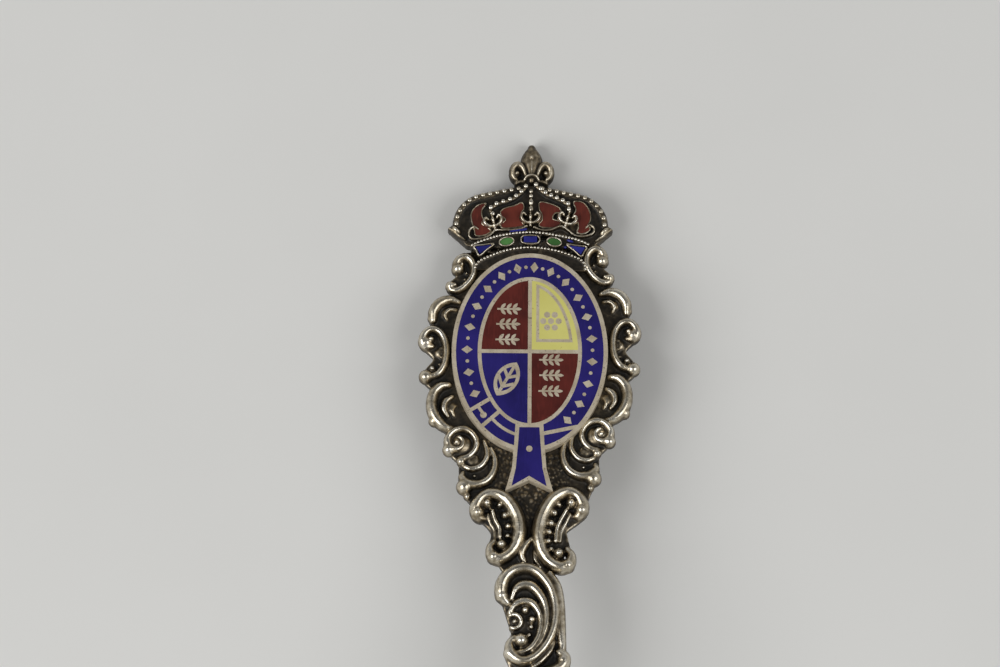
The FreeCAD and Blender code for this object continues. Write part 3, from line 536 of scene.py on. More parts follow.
EDGE_KNOPS = [
    (-6.08, 7.47, 0.5, 1.75), (-5.75, 7.87, 0.2, 1.6), (-6.68, 5.97, 0.4, 1.6), (-6.3, 6.07, 0.2, 1.5),
    (-8.25, 3.12, 0.3, 1.45), (-8.65, 0.97, 0.5, 1.75), (-8.25, 1.22, 0.27, 1.75),
    (-8.62, -1.98, 0.55, 1.8), (-8.1, -1.33, 0.26, 1.65), (-7.9, -5.78, 0.42, 1.6),
    (-6.62, -8.23, 0.5, 1.75), (-5.98, -7.63, 0.27, 1.6), (-5.6, -9.23, 0.36, 1.55),
    (-5.3, -11.38, 0.62, 1.85), (-5.05, -12.18, 0.3, 1.4), (-4.5, -10.48, 0.16, 1.3),
    (-4.35, -8.88, 0.16, 1.25), (-7.45, 0.47, 0.14, 1.3), (-7.4, -0.28, 0.14, 1.3),
    (-7.55, -0.93, 0.13, 1.3), (-5.35, 7.12, 0.13, 1.25), (-5.5, 6.57, 0.12, 1.25),
    (-5.62, -7.78, 0.82, 1.34), (-6.0, -7.6, 0.5, 1.45), (-4.6, -9.2, 0.55, 1.28), (-7.5, 0.1, 0.42, 1.26),
    (-6.55, -4.6, 0.5, 1.25), (-7.1, 3.6, 0.45, 1.25),
]
SIDE_OUTLINE = [
    (-4.6, 9.12), (-5.9, 8.52), (-6.35, 7.72), (-6.1, 7.02), (-6.75, 6.37), (-6.9, 5.72), (-6.5, 5.27),
    (-6.75, 4.92), (-7.8, 4.47), (-8.3, 3.62), (-8.2, 2.62), (-8.75, 1.92), (-9.05, 1.02), (-8.75, 0.42),
    (-8.05, -0.38), (-8.6, -1.18), (-9, -1.98), (-8.6, -2.63), (-8.1, -3.18), (-8.3, -4.48), (-8, -5.58),
    (-7.2, -6.43), (-6.8, -7.08), (-7, -7.98), (-6.4, -8.78), (-5.85, -9.38), (-5.8, -10.38),
    (-5.8, -11.38), (-5.3, -12.18),
]
LOW_LEFT_OUTLINE = [
    (-4.6, -13.1), (-4.6, -13.9), (-3.75, -14.4), (-3.1, -15.2), (-3.25, -16.2), (-3.3, -17.1),
    (-2.6, -17.6),
]
LOW_RIGHT_OUTLINE = [
    (2.6, -18.1), (3.5, -17.8), (3.5, -16.8), (2.75, -16.1), (3.1, -15.1), (4.1, -14.3), (4.85, -13.6),
    (4.8, -12.8),
]
LOW_ROLLS = {
    "left_c": [(-3.5, -14.09, 0.2, 1.3), (-4.05, -13.93, 0.45, 1.7), (-4.35, -13.26, 0.48, 1.95),
               (-4, -12.47, 0.45, 2.05), (-3.3, -12.03, 0.45, 2.1), (-2.4, -12.14, 0.5, 2.15),
               (-1.55, -12.86, 0.54, 2.2), (-0.95, -13.98, 0.56, 2.2), (-0.75, -15.13, 0.54, 2.2),
               (-1, -16.23, 0.5, 2.1), (-1.6, -17.03, 0.46, 2), (-2.35, -17.43, 0.48, 1.95),
               (-3, -17.13, 0.42, 1.85), (-3.15, -16.48, 0.3, 1.7), (-2.85, -15.98, 0.25, 1.5)],
    "left_strip": [(-3, -13.42, 0.2, 1.6), (-2.75, -14.21, 0.2, 1.55), (-2.4, -14.88, 0.2, 1.5),
                   (-2.35, -15.63, 0.2, 1.5)],
    "left_strip_out": [(-3.35, -13.76, 0.17, 1.4), (-3.15, -14.43, 0.17, 1.35), (-2.8, -15.03, 0.17, 1.35),
                       (-2.75, -15.73, 0.17, 1.35)],
    "right_c": [(3.65, -13.82, 0.2, 1.3), (4.08, -13.7, 0.45, 1.7), (4.42, -13.03, 0.5, 1.95),
                (4.05, -12.19, 0.46, 2.05), (3.4, -11.82, 0.45, 2.1), (2.7, -11.92, 0.5, 2.15),
                (1.85, -12.58, 0.54, 2.2), (1.2, -13.7, 0.56, 2.2), (0.85, -14.93, 0.54, 2.2),
                (0.85, -16.03, 0.5, 2.15), (1.2, -17.03, 0.48, 2.05), (1.9, -17.78, 0.46, 2),
                (2.7, -18.08, 0.5, 2), (3.35, -17.73, 0.45, 1.9), (3.5, -17.08, 0.32, 1.75),
                (3.15, -16.58, 0.25, 1.5)],
    "right_strip": [(3.1, -13.31, 0.2, 1.6), (2.65, -14.09, 0.2, 1.55), (2.3, -14.93, 0.2, 1.5),
                    (2.2, -15.93, 0.2, 1.5)],
    "right_strip_out": [(3.4, -13.65, 0.17, 1.4), (3.0, -14.43, 0.17, 1.35), (2.65, -15.13, 0.17, 1.35),
                        (2.55, -15.93, 0.17, 1.35)],
    "middle_leaf": [(0.2, -15.73, 0.18, 1.5), (-0.3, -16.33, 0.3, 1.7), (-0.55, -17.03, 0.3, 1.65),
                    (-0.3, -17.73, 0.2, 1.45)],
    "middle_leaf_right": [(0.45, -16.73, 0.14, 1.3), (0.55, -17.43, 0.18, 1.4), (0.95, -18.13, 0.16, 1.3)],
}
LOW_KNOPS = [
    (-4.17, -13.59, 0.6, 2.05), (-3.42, -12.85, 0.46, 2.15), (-2.85, -17.28, 0.6, 2),
    (-2.2, -16.28, 0.48, 2.15), (4.35, -13.31, 0.62, 2.05), (3.46, -12.78, 0.46, 2.15),
    (3.2, -17.93, 0.62, 2.05), (2.45, -16.98, 0.5, 2.15), (-2.4, -12.98, 0.28, 1.75),
    (-1.95, -13.82, 0.36, 1.8), (-1.7, -14.73, 0.33, 1.75), (-1.72, -15.53, 0.28, 1.65),
    (2.5, -12.92, 0.28, 1.75), (2.1, -13.59, 0.36, 1.8), (1.82, -14.43, 0.38, 1.8),
    (1.66, -15.18, 0.33, 1.7), (1.62, -15.93, 0.32, 1.65), (1.82, -16.6, 0.28, 1.6),
]
GROUND = 1.0
EDGE_FATTER, EDGE_KNOP_FATTER, LOW_FATTER = 1.32, 1.16, 1.2
FRAME_FOOT = [(-1.7, -18.6), (1.6, -18.8)]
GRAINS_PER_MM = 3.9
GRAIN_DEPTH, GRAIN_SLOPE = 0.12, 1.6
PUNCHED_V, PUNCHED_HALF_U, PUNCHED_TOP_V = (-14.6, -6.4), 3.4, 8.2


def stippled(mesh):
    """Punched ground: small close-set grains round the medallion's head and tail."""
    for vert in mesh.vertices:
        u, v, w = vert.co
        below = PUNCHED_V[0] < v < PUNCHED_V[1] and abs(u) < PUNCHED_HALF_U
        if (below or v > PUNCHED_TOP_V) and abs(w - GROUND) < 0.2:
            nearest = noise.voronoi(Vector((u * GRAINS_PER_MM, v * GRAINS_PER_MM, 0)))[0][0]
            vert.co.z += GRAIN_DEPTH * (0.5 - min(1.0, nearest * GRAIN_SLOPE))


def scroll_frame():
    casting = bmesh.new()
    right = mirrored(SIDE_OUTLINE, RIGHT_LIFT)[::-1]
    plate(casting, SIDE_OUTLINE + LOW_LEFT_OUTLINE + FRAME_FOOT + LOW_RIGHT_OUTLINE + right, GROUND)
    for stations in EDGE_ROLLS.values():
        roll(casting, stations, fatter=EDGE_FATTER)
        roll(casting, mirrored(stations, RIGHT_LIFT), fatter=EDGE_FATTER)
    for u, v, radius, crest in EDGE_KNOPS:
        knop(casting, u, v, radius * EDGE_KNOP_FATTER, crest)
        knop(casting, -u, v + RIGHT_LIFT, radius * EDGE_KNOP_FATTER, crest)
    for stations in LOW_ROLLS.values():
        roll(casting, stations, fatter=LOW_FATTER)
    for place in LOW_KNOPS:
        knop(casting, *place)
    cast("scroll_frame", casting, silver, voxel=0.075, faces=190000, heights=(0.9, 1.5), texture=stippled)


scroll_frame()

# ---------------------------------------------------------------- crown

CROWN_LEFT = [
    (-0.9, 14.85), (-1.6, 14.72), (-2.6, 14.5), (-3.6, 14.28), (-4.6, 14.0), (-5.4, 13.5), (-6.0, 12.8),
    (-6.4, 12.0), (-6.5, 11.4), (-6.85, 11.15), (-6.6, 10.7), (-6.1, 10.2), (-5.6, 9.75), (-5.0, 9.45),
    (-3.6, 10.0), (-2.0, 10.4),
]
OUTER_ARCH = [
    (-6.25, 11.35), (-6.2, 11.8), (-6.0, 12.45), (-5.65, 13.0), (-5.1, 13.5), (-4.5, 13.8), (-3.75, 14.0),
    (-3.0, 14.15), (-2.3, 14.3), (-1.65, 14.42), (-1.0, 14.55),
]
INNER_ARCHES = [
    [(-0.4, 14.75), (-0.8, 14.25), (-1.4, 13.75), (-2.1, 13.42), (-2.8, 13.2), (-3.38, 12.75),
     (-3.2, 12.25)],
    [(0.45, 14.9), (0.88, 14.5), (1.4, 14.1), (2.05, 13.8), (2.62, 13.55), (3.2, 13.2), (3.25, 12.7)],
]
CROWN_CELLS = [
    [(-5.0, 11.8), (-4.98, 12.45), (-4.5, 13.05), (-3.75, 13.25), (-4.1, 12.7), (-4.12, 12.2), (-4.0, 11.8),
     (-4.1, 11.4), (-3.5, 11.0), (-3.35, 10.7), (-3.9, 10.4), (-4.6, 10.35), (-4.75, 10.9)],
    [(-2.55, 12.5), (-2.15, 12.85), (-1.4, 13.05), (-0.72, 13.35), (-0.55, 12.85), (-0.75, 12.5),
     (-0.9, 12.0), (-0.65, 11.5), (-0.5, 11.3), (-1.2, 11.12), (-2.35, 11.05), (-2.5, 11.35), (-2.1, 11.8),
     (-2.4, 12.1)],
    [(0.8, 13.4), (1.7, 13.25), (2.45, 12.9), (2.55, 12.5), (2.05, 12.4), (1.9, 11.9), (2.6, 11.6),
     (2.1, 11.15), (0.95, 11.15), (0.7, 11.4), (1.0, 11.8), (0.95, 12.35), (0.75, 12.75)],
    [(3.65, 13.45), (4.45, 13.4), (4.98, 12.7), (5.1, 11.95), (4.9, 11.4), (5.05, 10.95), (4.5, 10.6),
     (3.95, 10.7), (4.05, 11.1), (4.0, 11.7), (3.6, 12.1), (3.85, 12.75)],
]
SCALLOPS = [
    [(-4.4, 10.92, 0.1, 1.6), (-4.72, 11.12, 0.13, 1.7), (-5.1, 10.88, 0.15, 1.75), (-5.2, 10.4, 0.14, 1.7),
     (-4.95, 10.06, 0.13, 1.65), (-4.3, 10.05, 0.12, 1.65), (-3.46, 10.35, 0.12, 1.65),
     (-2.97, 10.78, 0.15, 1.8), (-2.38, 10.85, 0.12, 1.65), (-1.6, 10.88, 0.12, 1.65),
     (-0.8, 11.0, 0.12, 1.65), (-0.3, 11.2, 0.15, 1.8)],
    [(4.7, 11.1, 0.1, 1.65), (5.0, 11.35, 0.13, 1.75), (5.4, 11.05, 0.14, 1.75), (5.25, 10.6, 0.14, 1.7),
     (4.5, 10.35, 0.12, 1.65), (3.75, 10.45, 0.12, 1.65), (3.15, 10.9, 0.14, 1.75), (2.55, 11.2, 0.15, 1.8),
     (1.7, 10.9, 0.12, 1.65), (0.9, 10.9, 0.12, 1.65), (0.3, 11.1, 0.15, 1.8)],
]
FLEURON_PLACES = [(-3.05, 11.2, 14, 0.92), (0.0, 11.5, 0, 0.95), (3.02, 11.45, -16, 0.92)]
CROWN_BED = 1.28
ARCH_HALF, INNER_ARCH_HALF, CELL_RIM_HALF = 0.36, 0.27, 0.085
HORN_ROLL = [(5.5, 9.95, 0.14, 1.55), (6.05, 10.35, 0.2, 1.7), (6.85, 11.0, 0.15, 1.6)]
FLEURON_KNOPS = ((0.0, 0.24, 1.0), (0.55, 0.2, 2.0), (1.15, 0.17, 1.4), (-0.28, 0.16, 1.2))
PETAL = [
    (0.08, 0.0, 0.14, 1.8), (0.42, 0.04, 0.17, 1.9), (0.74, 0.3, 0.2, 2.0), (0.82, 0.65, 0.2, 2.0),
    (0.6, 0.9, 0.17, 1.95), (0.4, 0.68, 0.12, 1.85),
]


def turned(points, u, v, degrees, scale=1.0, flip=1):
    """Stations drawn round the origin, taken to a place and turned."""
    a = math.radians(degrees)
    across, up = math.cos(a) * scale, math.sin(a) * scale
    placed = []
    for x, y, *sizes in points:
        x *= flip
        placed.append((u + x * across - y * up, v + x * up + y * across, *sizes))
    return placed


def sized(points, wide, crest):
    """Plan points given one half width and one crest."""
    return [(u, v, wide, crest) for u, v in points]


def crown():
    casting = bmesh.new()
    plate(casting, CROWN_LEFT + [(0, 10.55)] + [(-u, v) for u, v in CROWN_LEFT[::-1]] + [(0, 14.95)],
          CROWN_BED)
    for sign in (-1, 1):
        roll(casting, sized([(u * -sign, v) for u, v in OUTER_ARCH], ARCH_HALF, 1.48), belly=0.95)
        knop(casting, 6.28 * sign, 10.82, 0.34, 1.85, long=1.9, turn=38 * sign)
        roll(casting, [(u * sign, *rest) for u, *rest in HORN_ROLL])
    for arch in INNER_ARCHES:
        roll(casting, sized(arch, INNER_ARCH_HALF, 1.6), belly=1.0)
    for cell in CROWN_CELLS:
        roll(casting, sized(cell, CELL_RIM_HALF, 1.58), belly=1.25, foot=1.0, closed=True)
    for scallop in SCALLOPS:
        roll(casting, scallop, belly=1.2, foot=1.0)
    cast("crown", casting, silver, voxel=0.055, faces=120000, heights=(1.4, 1.95))


def fleurons():
    casting = bmesh.new()
    for u, v, lean, scale in FLEURON_PLACES:
        for flip in (-1, 1):
            roll(casting, turned(PETAL, u, v, lean, scale, flip), belly=1.3, foot=1.05)
        for y, radius, long in FLEURON_KNOPS:
            (place_u, place_v), = turned([(0, y)], u, v, lean, scale)
            knop(casting, place_u, place_v, radius, 1.98, middle=1.35, long=long, turn=90 + lean)
    cast("crown_fleurons", casting, silver, voxel=0.05, faces=30000, heights=(1.2, 1.7))


BEAD_WEAR_LOW, BEAD_WEAR_RISE = 0.2, 0.75


def grains(name, places):
    """Rows of round beads, each a whole small ball set into its ledge."""
    row = bmesh.new()
    for u, v, w, radius, long, turn in places:
        place = Matrix.Translation((u, v, w)) @ Matrix.Rotation(math.radians(turn), 4, "Z")
        stretch = Matrix.Diagonal((long, 1, 1, 1))
        bmesh.ops.create_icosphere(row, subdivisions=2, radius=radius, matrix=place @ stretch)
    mesh = bpy.data.meshes.new(name)
    row.to_mesh(mesh)
    row.free()
    w = heights_of(mesh)
    store_wear(mesh, np.clip(BEAD_WEAR_LOW + (w - w.min()) / (w.max() - w.min()) * BEAD_WEAR_RISE, 0, 1))
    lay(mesh)
    show(name, mesh, silver, name)


def even_places(points, count):
    """A number of points at even runs along a smooth line."""
    line = np.array(smooth_line(points, step=0.04))
    runs = np.concatenate([[0], np.cumsum(np.hypot(*np.diff(line, axis=0).T))])
    wanted = np.linspace(0, runs[-1], count)
    return list(zip(np.interp(wanted, runs, line[:, 0]), np.interp(wanted, runs, line[:, 1])))


MIDDLE_COLUMN = [(14.3, 0.19, 1.0), (13.9, 0.2, 1.0), (13.35, 0.22, 1.5), (12.75, 0.2, 1.5)]
PEARL = 0.21
OUTER_PEARLS, INNER_PEARLS = 12, 8


def pearls():
    places = []
    for sign in (-1, 1):
        for u, v in even_places(OUTER_ARCH, OUTER_PEARLS):
            places.append((-sign * u, v, 1.6, PEARL, 1.0, 0))
    for arch in INNER_ARCHES:
        for u, v in even_places(arch, INNER_PEARLS):
            places.append((u, v, 1.7, PEARL, 1.0, 0))
    for v, radius, long in MIDDLE_COLUMN:
        places.append((0.04, v, 1.62, radius, long, 90))
    grains("crown_pearls", places)


UPPER_ROW = [
    (-4.88, 9.44), (-4.2, 9.78), (-3.1, 10.16), (-2.1, 10.4), (-0.9, 10.58), (0.1, 10.62), (1.15, 10.55),
    (2.15, 10.38), (3.1, 10.2), (4.1, 9.95), (4.85, 9.6),
]
LOWER_ROW = [
    (-4.62, 7.45), (-4.45, 7.83), (-4.12, 8.12), (-3.4, 8.48), (-2.3, 8.92), (-1.1, 9.2), (0.05, 9.28),
    (1.15, 9.2), (2.3, 8.98), (3.4, 8.62), (4.2, 8.25), (4.55, 7.85), (4.65, 7.4),
]
JEWEL_RIMS = [
    [(-0.64, 10.22), (0.64, 10.22), (0.64, 9.62), (-0.64, 9.62)],
    [(-4.74, 9.3), (-3.9, 9.42), (-3.06, 9.5), (-3.66, 9.0), (-4.28, 8.46), (-4.55, 8.9)],
    [(4.74, 9.3), (3.9, 9.42), (3.06, 9.5), (3.66, 9.0), (4.28, 8.46), (4.55, 8.9)],
]
OVAL_RIM_HALF = (0.63, 0.37)
OVAL_JEWEL = (2.0, 9.72, -10.3)
for side in (-1, 1):
    around = np.linspace(0, math.tau, 9)[:-1]
    rim = [(OVAL_RIM_HALF[0] * math.cos(a), OVAL_RIM_HALF[1] * math.sin(a)) for a in around]
    JEWEL_RIMS.append(turned(rim, OVAL_JEWEL[0] * side, OVAL_JEWEL[1], OVAL_JEWEL[2] * side))
CIRCLET_BED = 1.5
BAND_ABOVE, BAND_BELOW, BAND_SPREAD = 0.16, 0.14, 1.02
BAND_END = [(5.0, 8.9), (4.85, 7.9)]


def circlet():
    casting = bmesh.new()
    above = [(u, v + BAND_ABOVE) for u, v in UPPER_ROW]
    below = [(u * BAND_SPREAD, v - BAND_BELOW) for u, v in LOWER_ROW[::-1]]
    left_end = [(-u, v) for u, v in BAND_END[::-1]]
    plate(casting, above + BAND_END + below + left_end, CIRCLET_BED, smooth=False)
    for row in (UPPER_ROW, LOWER_ROW):
        roll(casting, sized(row, 0.17, 1.6), belly=1.3)
    for rim in JEWEL_RIMS:
        roll(casting, sized(rim, 0.1, 1.97), belly=1.6, foot=1.3, closed=True)
    cast("circlet", casting, silver, voxel=0.05, faces=80000, heights=(1.6, 2.1))


BEAD = 0.125
BEAD_HEIGHT = 1.68
BEADS_IN_ROW = 37


def beading(name, row):
    grains(name, [(u, v, BEAD_HEIGHT, BEAD, 1.0, 0) for u, v in even_places(row, BEADS_IN_ROW)])


SPILL_DEPTH = 0.09
SPILLS = [
    (-1.15, 10.84, 1.5, 0.62, 0.13, 8), (-0.55, 10.9, 1.5, 0.3, 0.12, 20),
    (3.35, 9.86, 1.72, 0.3, 0.1, -20), (2.95, 9.3, 1.72, 0.12, 0.1, 0),
]


def spills():
    """Blue glass that ran over its bed when it was fired."""
    pool = bmesh.new()
    for u, v, w, long, wide, turn in SPILLS:
        place = Matrix.Translation((u, v, w)) @ Matrix.Rotation(math.radians(turn), 4, "Z")
        swell = Matrix.Diagonal((long, wide, SPILL_DEPTH, 1))
        bmesh.ops.create_icosphere(pool, subdivisions=3, radius=1, matrix=place @ swell)
    mesh = bpy.data.meshes.new("enamel_spills")
    pool.to_mesh(mesh)
    pool.free()
    lay(mesh)
    piece = show("enamel_spills", mesh, jewel_blue)


# ---------------------------------------------------------------- fleur-de-lis finial

FLEUR_MIDDLE = 0.08
FLEUR_GROUND = 1.0
FLEUR_ROLLS = {
    "bud": [(0, 15.4, 0.36, 1.5), (0, 16.0, 0.48, 1.6), (0, 16.6, 0.78, 1.68), (0, 17.1, 0.96, 1.7),
            (0, 17.5, 0.92, 1.65), (0, 17.9, 0.74, 1.55), (0, 18.2, 0.54, 1.45), (0, 18.42, 0.36, 1.3)],
    "bud_ridge": [(0, 15.9, 0.14, 1.75), (0, 16.5, 0.18, 1.82), (0, 17.0, 0.14, 1.8)],
    "lobe_side": [(0.42, 15.55, 0.22, 1.5), (0.58, 16.1, 0.26, 1.65), (0.82, 16.6, 0.34, 1.75),
                  (1.15, 16.82, 0.38, 1.8), (1.48, 16.62, 0.38, 1.75), (1.62, 16.2, 0.34, 1.65),
                  (1.56, 15.8, 0.3, 1.55), (1.32, 15.5, 0.26, 1.5)],
    "foot_side": [(0.5, 15.3, 0.2, 1.35), (0.9, 15.35, 0.24, 1.4), (1.25, 15.2, 0.2, 1.35)],
    "collar": [(-0.62, 15.3, 0.18, 1.75), (-0.45, 15.6, 0.2, 1.9), (0, 15.74, 0.22, 1.98),
               (0.45, 15.6, 0.2, 1.9), (0.62, 15.3, 0.18, 1.75)],
}
FLEUR_BED = [
    (-1.1, 14.9), (-1.4, 15.4), (-1.7, 16.0), (-1.5, 16.6), (-0.9, 16.8), (0, 17.0), (0.9, 16.8),
    (1.5, 16.6), (1.7, 16.0), (1.4, 15.4), (1.1, 14.9),
]


def fleur():
    casting = bmesh.new()
    plate(casting, FLEUR_BED, FLEUR_GROUND)
    for name, stations in FLEUR_ROLLS.items():
        for flip in (-1, 1) if "side" in name else (1,):
            placed = [(u * flip + FLEUR_MIDDLE, v, wide, crest) for u, v, wide, crest in stations]
            roll(casting, placed, belly=0.75)
    knop(casting, FLEUR_MIDDLE, 17.4, 0.3, 1.86)
    for sign in (-1, 1):
        knop(casting, FLEUR_MIDDLE + 1.22 * sign, 16.05, 0.3, 1.6)
    cast("finial_fleur", casting, dull_silver, voxel=0.055, faces=50000, heights=(0.9, 1.7))


# ---------------------------------------------------------------- stem

STEM_ROLLS = {
    "shell": [(-1.7, -21.1, 0.28, 1.7), (-2.15, -20.5, 0.46, 2), (-2.15, -19.65, 0.5, 2.15),
              (-1.8, -18.9, 0.46, 2.2), (-1.15, -18.4, 0.44, 2.2), (-0.3, -18.2, 0.44, 2.2),
              (0.55, -18.45, 0.42, 2.2), (1.3, -19.15, 0.4, 2.2), (1.85, -20.05, 0.38, 2.15),
              (2.15, -21.15, 0.36, 2.1), (2.2, -22.35, 0.36, 2.1), (1.95, -23.55, 0.36, 2.1),
              (1.35, -24.7, 0.36, 2.1), (0.5, -25.55, 0.38, 2.1), (-0.35, -25.85, 0.42, 2.1),
              (-1.1, -25.55, 0.42, 2.05), (-1.45, -24.95, 0.4, 1.95), (-1.45, -24.35, 0.3, 1.8),
              (-1.1, -23.9, 0.2, 1.7)],
    "second_fold": [(-1.35, -20.75, 0.2, 1.6), (-1.05, -20, 0.3, 1.85), (-0.45, -19.6, 0.38, 1.95),
                    (0.25, -19.7, 0.42, 1.95), (0.85, -20.25, 0.4, 1.95), (1.32, -21.1, 0.36, 1.9),
                    (1.52, -22.15, 0.33, 1.9), (1.4, -23.25, 0.3, 1.9), (1.0, -24.25, 0.27, 1.85),
                    (0.4, -25, 0.24, 1.8)],
    "inner_fold": [(-1.5, -21.9, 0.2, 1.6), (-1.1, -21.25, 0.28, 1.8), (-0.45, -20.95, 0.32, 1.9),
                   (0.25, -21.1, 0.32, 1.9), (0.8, -21.75, 0.3, 1.9), (1.05, -22.65, 0.28, 1.85),
                   (0.9, -23.65, 0.27, 1.85), (0.45, -24.5, 0.26, 1.85), (-0.2, -25.05, 0.26, 1.85),
                   (-0.95, -25.2, 0.24, 1.8)],
    "small_volute": [(-1.5, -22.15, 0.16, 1.55), (-1.05, -22.05, 0.2, 1.7), (-0.65, -22.35, 0.22, 1.75),
                     (-0.6, -22.85, 0.2, 1.7), (-1.0, -23.2, 0.18, 1.6), (-1.4, -23.1, 0.15, 1.5)],
    "right_edge": [(1.75, -18.6, 0.24, 1.6), (2.3, -19.65, 0.34, 1.75), (2.52, -21.05, 0.38, 1.8),
                   (2.6, -22.45, 0.38, 1.8), (2.66, -23.75, 0.36, 1.75), (2.78, -24.85, 0.28, 1.7)],
    "right_tongue": [(2.15, -24.25, 0.14, 1.6), (1.8, -25.05, 0.2, 1.8), (1.1, -25.85, 0.24, 1.9),
                     (0.4, -26.4, 0.22, 1.75)],
    "next_shell": [(2.5, -25.1, 0.3, 1.8), (2.95, -25.5, 0.42, 2), (2.8, -26.15, 0.46, 2.1),
                   (2.1, -26.65, 0.46, 2.15), (1.2, -26.9, 0.44, 2.15), (0.3, -27.3, 0.42, 2.15),
                   (-0.55, -28.3, 0.4, 2.15), (-1.3, -29.4, 0.38, 2.1), (-1.35, -30.8, 0.36, 2.1),
                   (-0.9, -31.9, 0.36, 2.1), (-0.1, -32.6, 0.38, 2.1), (0.8, -32.75, 0.38, 2.05),
                   (1.45, -32.3, 0.36, 1.95), (1.5, -31.7, 0.26, 1.8)],
    "next_fold": [(1.7, -27.9, 0.22, 1.8), (0.9, -28.25, 0.28, 1.9), (-0.05, -28.95, 0.3, 1.9),
                  (-0.5, -30.1, 0.28, 1.9), (-0.4, -31.1, 0.25, 1.85), (0.1, -31.8, 0.2, 1.8)],
    "last_curl": [(-1.9, -31.6, 0.24, 1.7), (-1.95, -32.6, 0.32, 1.9), (-1.5, -33.7, 0.36, 2.05),
                  (-0.6, -34.6, 0.36, 2.1), (0.3, -35.6, 0.34, 2.1), (0.75, -36.8, 0.3, 2.1),
                  (0.6, -38.2, 0.26, 2.1), (0.1, -39.6, 0.2, 2.1)],
    "last_leaf": [(1.8, -33.4, 0.26, 1.75), (1.75, -34.6, 0.32, 1.9), (1.5, -36, 0.3, 1.95),
                  (1.3, -37.6, 0.22, 1.9), (1.1, -39.2, 0.14, 1.9)],
    "last_leaf_left": [(-1.5, -34.9, 0.22, 1.75), (-1.35, -36.2, 0.28, 1.9), (-1.05, -37.8, 0.24, 1.95),
                       (-0.6, -39.4, 0.16, 1.95)],
    "shank": [(0, -30, 1.7, 1.6), (0, -36, 1.65, 1.85), (0, -44, 1.5, 1.95), (0, -54, 1.35, 2),
              (0, -62, 1.4, 2), (0, -65.5, 1.75, 1.9), (0, -68.3, 2.2, 1.75), (0, -69.9, 2.45, 1.6)],
    "spine": [(0, -38.5, 0.16, 2.0), (0, -44, 0.26, 2.1), (0, -54, 0.24, 2.12), (0, -62, 0.24, 2.1),
              (0, -64.8, 0.18, 2.0)],
}
STEM_GROUND = 1.15
STEM_FATTER = 1.22
PLAIN_ROLLS = ("shank", "spine")
HEEL_RIB = [(0, -65.4, 0.3, 2.15), (0, -68.2, 0.4, 2.1), (0, -70.3, 0.4, 1.95)]
STEM_EDGE_ROLLS = {
    "reed": [(-1.25, -37.5, 0.14, 1.8), (-1.3, -44.0, 0.17, 1.85), (-1.15, -54.0, 0.16, 1.85),
             (-1.2, -62.0, 0.16, 1.85), (-1.45, -65.2, 0.16, 1.8)],
    "shell_rib": [(-0.25, -64.6, 0.16, 2.1), (-0.55, -66.8, 0.26, 2.1), (-0.8, -68.7, 0.34, 2.0),
                  (-0.92, -70.3, 0.34, 1.85)],
    "shell_rib_out": [(-0.7, -64.9, 0.14, 1.95), (-1.25, -66.9, 0.24, 1.95), (-1.75, -68.7, 0.3, 1.85),
                      (-2.0, -69.9, 0.28, 1.7)],
}
STEM_KNOPS = [
    (-2.15, -20.5, 0.6, 2.05), (-1.42, -25.2, 0.6, 2), (-0.55, -24.2, 0.66, 2.3), (2.85, -25.75, 0.6, 2.1),
    (-0.25, -21.7, 0.38, 1.9), (0.3, -22.45, 0.34, 1.8), (0.25, -23.05, 0.26, 1.6),
    (-1.1, -22.65, 0.24, 1.75), (0.1, -23.7, 0.22, 1.55), (1.4, -31.85, 0.5, 2.05),
    (0.75, -31.1, 0.34, 2.05), (0.75, -29.2, 0.24, 1.6), (0.3, -30.2, 0.24, 1.6), (-1.9, -31.9, 0.42, 1.95),
    (1.75, -33.6, 0.42, 1.95), (-1.55, -34.8, 0.34, 1.85),
]
STEM_LEFT = [
    (-0.6, -18.2), (-1.6, -18.6), (-2.2, -19.3), (-2.4, -20.1), (-2.15, -20.9), (-1.5, -21.5),
    (-1.3, -22.2), (-1.25, -23.2), (-1.5, -23.9), (-1.85, -24.5), (-1.9, -25.4), (-1.6, -26.1),
    (-1.4, -27.0), (-1.45, -28.6), (-1.8, -29.8), (-1.9, -31.0), (-2.3, -31.9), (-2.2, -33.2),
    (-1.9, -34.6), (-1.65, -36.5), (-1.4, -39.0),
]
STEM_RIGHT = [
    (1.2, -39.0), (1.6, -36.5), (2.0, -34.6), (2.1, -33.5), (1.8, -32.8), (1.9, -31.6), (1.7, -30.4),
    (1.95, -29.0), (2.5, -27.8), (3.3, -26.6), (3.4, -25.6), (3.0, -24.8), (3.0, -23.8), (2.95, -22.4),
    (2.75, -20.8), (2.3, -19.3), (1.2, -18.4),
]


def stem():
    casting = bmesh.new()
    plate(casting, STEM_LEFT + STEM_RIGHT, STEM_GROUND)
    for name, stations in STEM_ROLLS.items():
        roll(casting, stations, belly=0.9, fatter=1.0 if name in PLAIN_ROLLS else STEM_FATTER)
    for stations in STEM_EDGE_ROLLS.values():
        for flip in (-1, 1):
            roll(casting, [(u * flip, v, wide, crest) for u, v, wide, crest in stations], belly=1.0)
    roll(casting, HEEL_RIB, belly=1.0)
    for place in STEM_KNOPS:
        knop(casting, *place, middle=0.9)
    cast("stem", casting, silver, voxel=0.085, faces=190000, heights=(1.0, 1.6))


# ---------------------------------------------------------------- bowl and heel

BOWL_LOW, BOWL_HIGH = (Vector(corner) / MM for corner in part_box("bowl"))
BOWL_HALF_WIDE = (BOWL_HIGH.x - BOWL_LOW.x) / 2
TIP_SHARE = 25 / 43
BOWL_MIDDLE = BOWL_LOW.y + (BOWL_HIGH.y - BOWL_LOW.y) * TIP_SHARE
BOWL_WALL = 0.85
BOWL_RINGS, BOWL_SIDES = 26, 96
EDGE_ROUND, EDGE_ANGLE = 0.25, 40


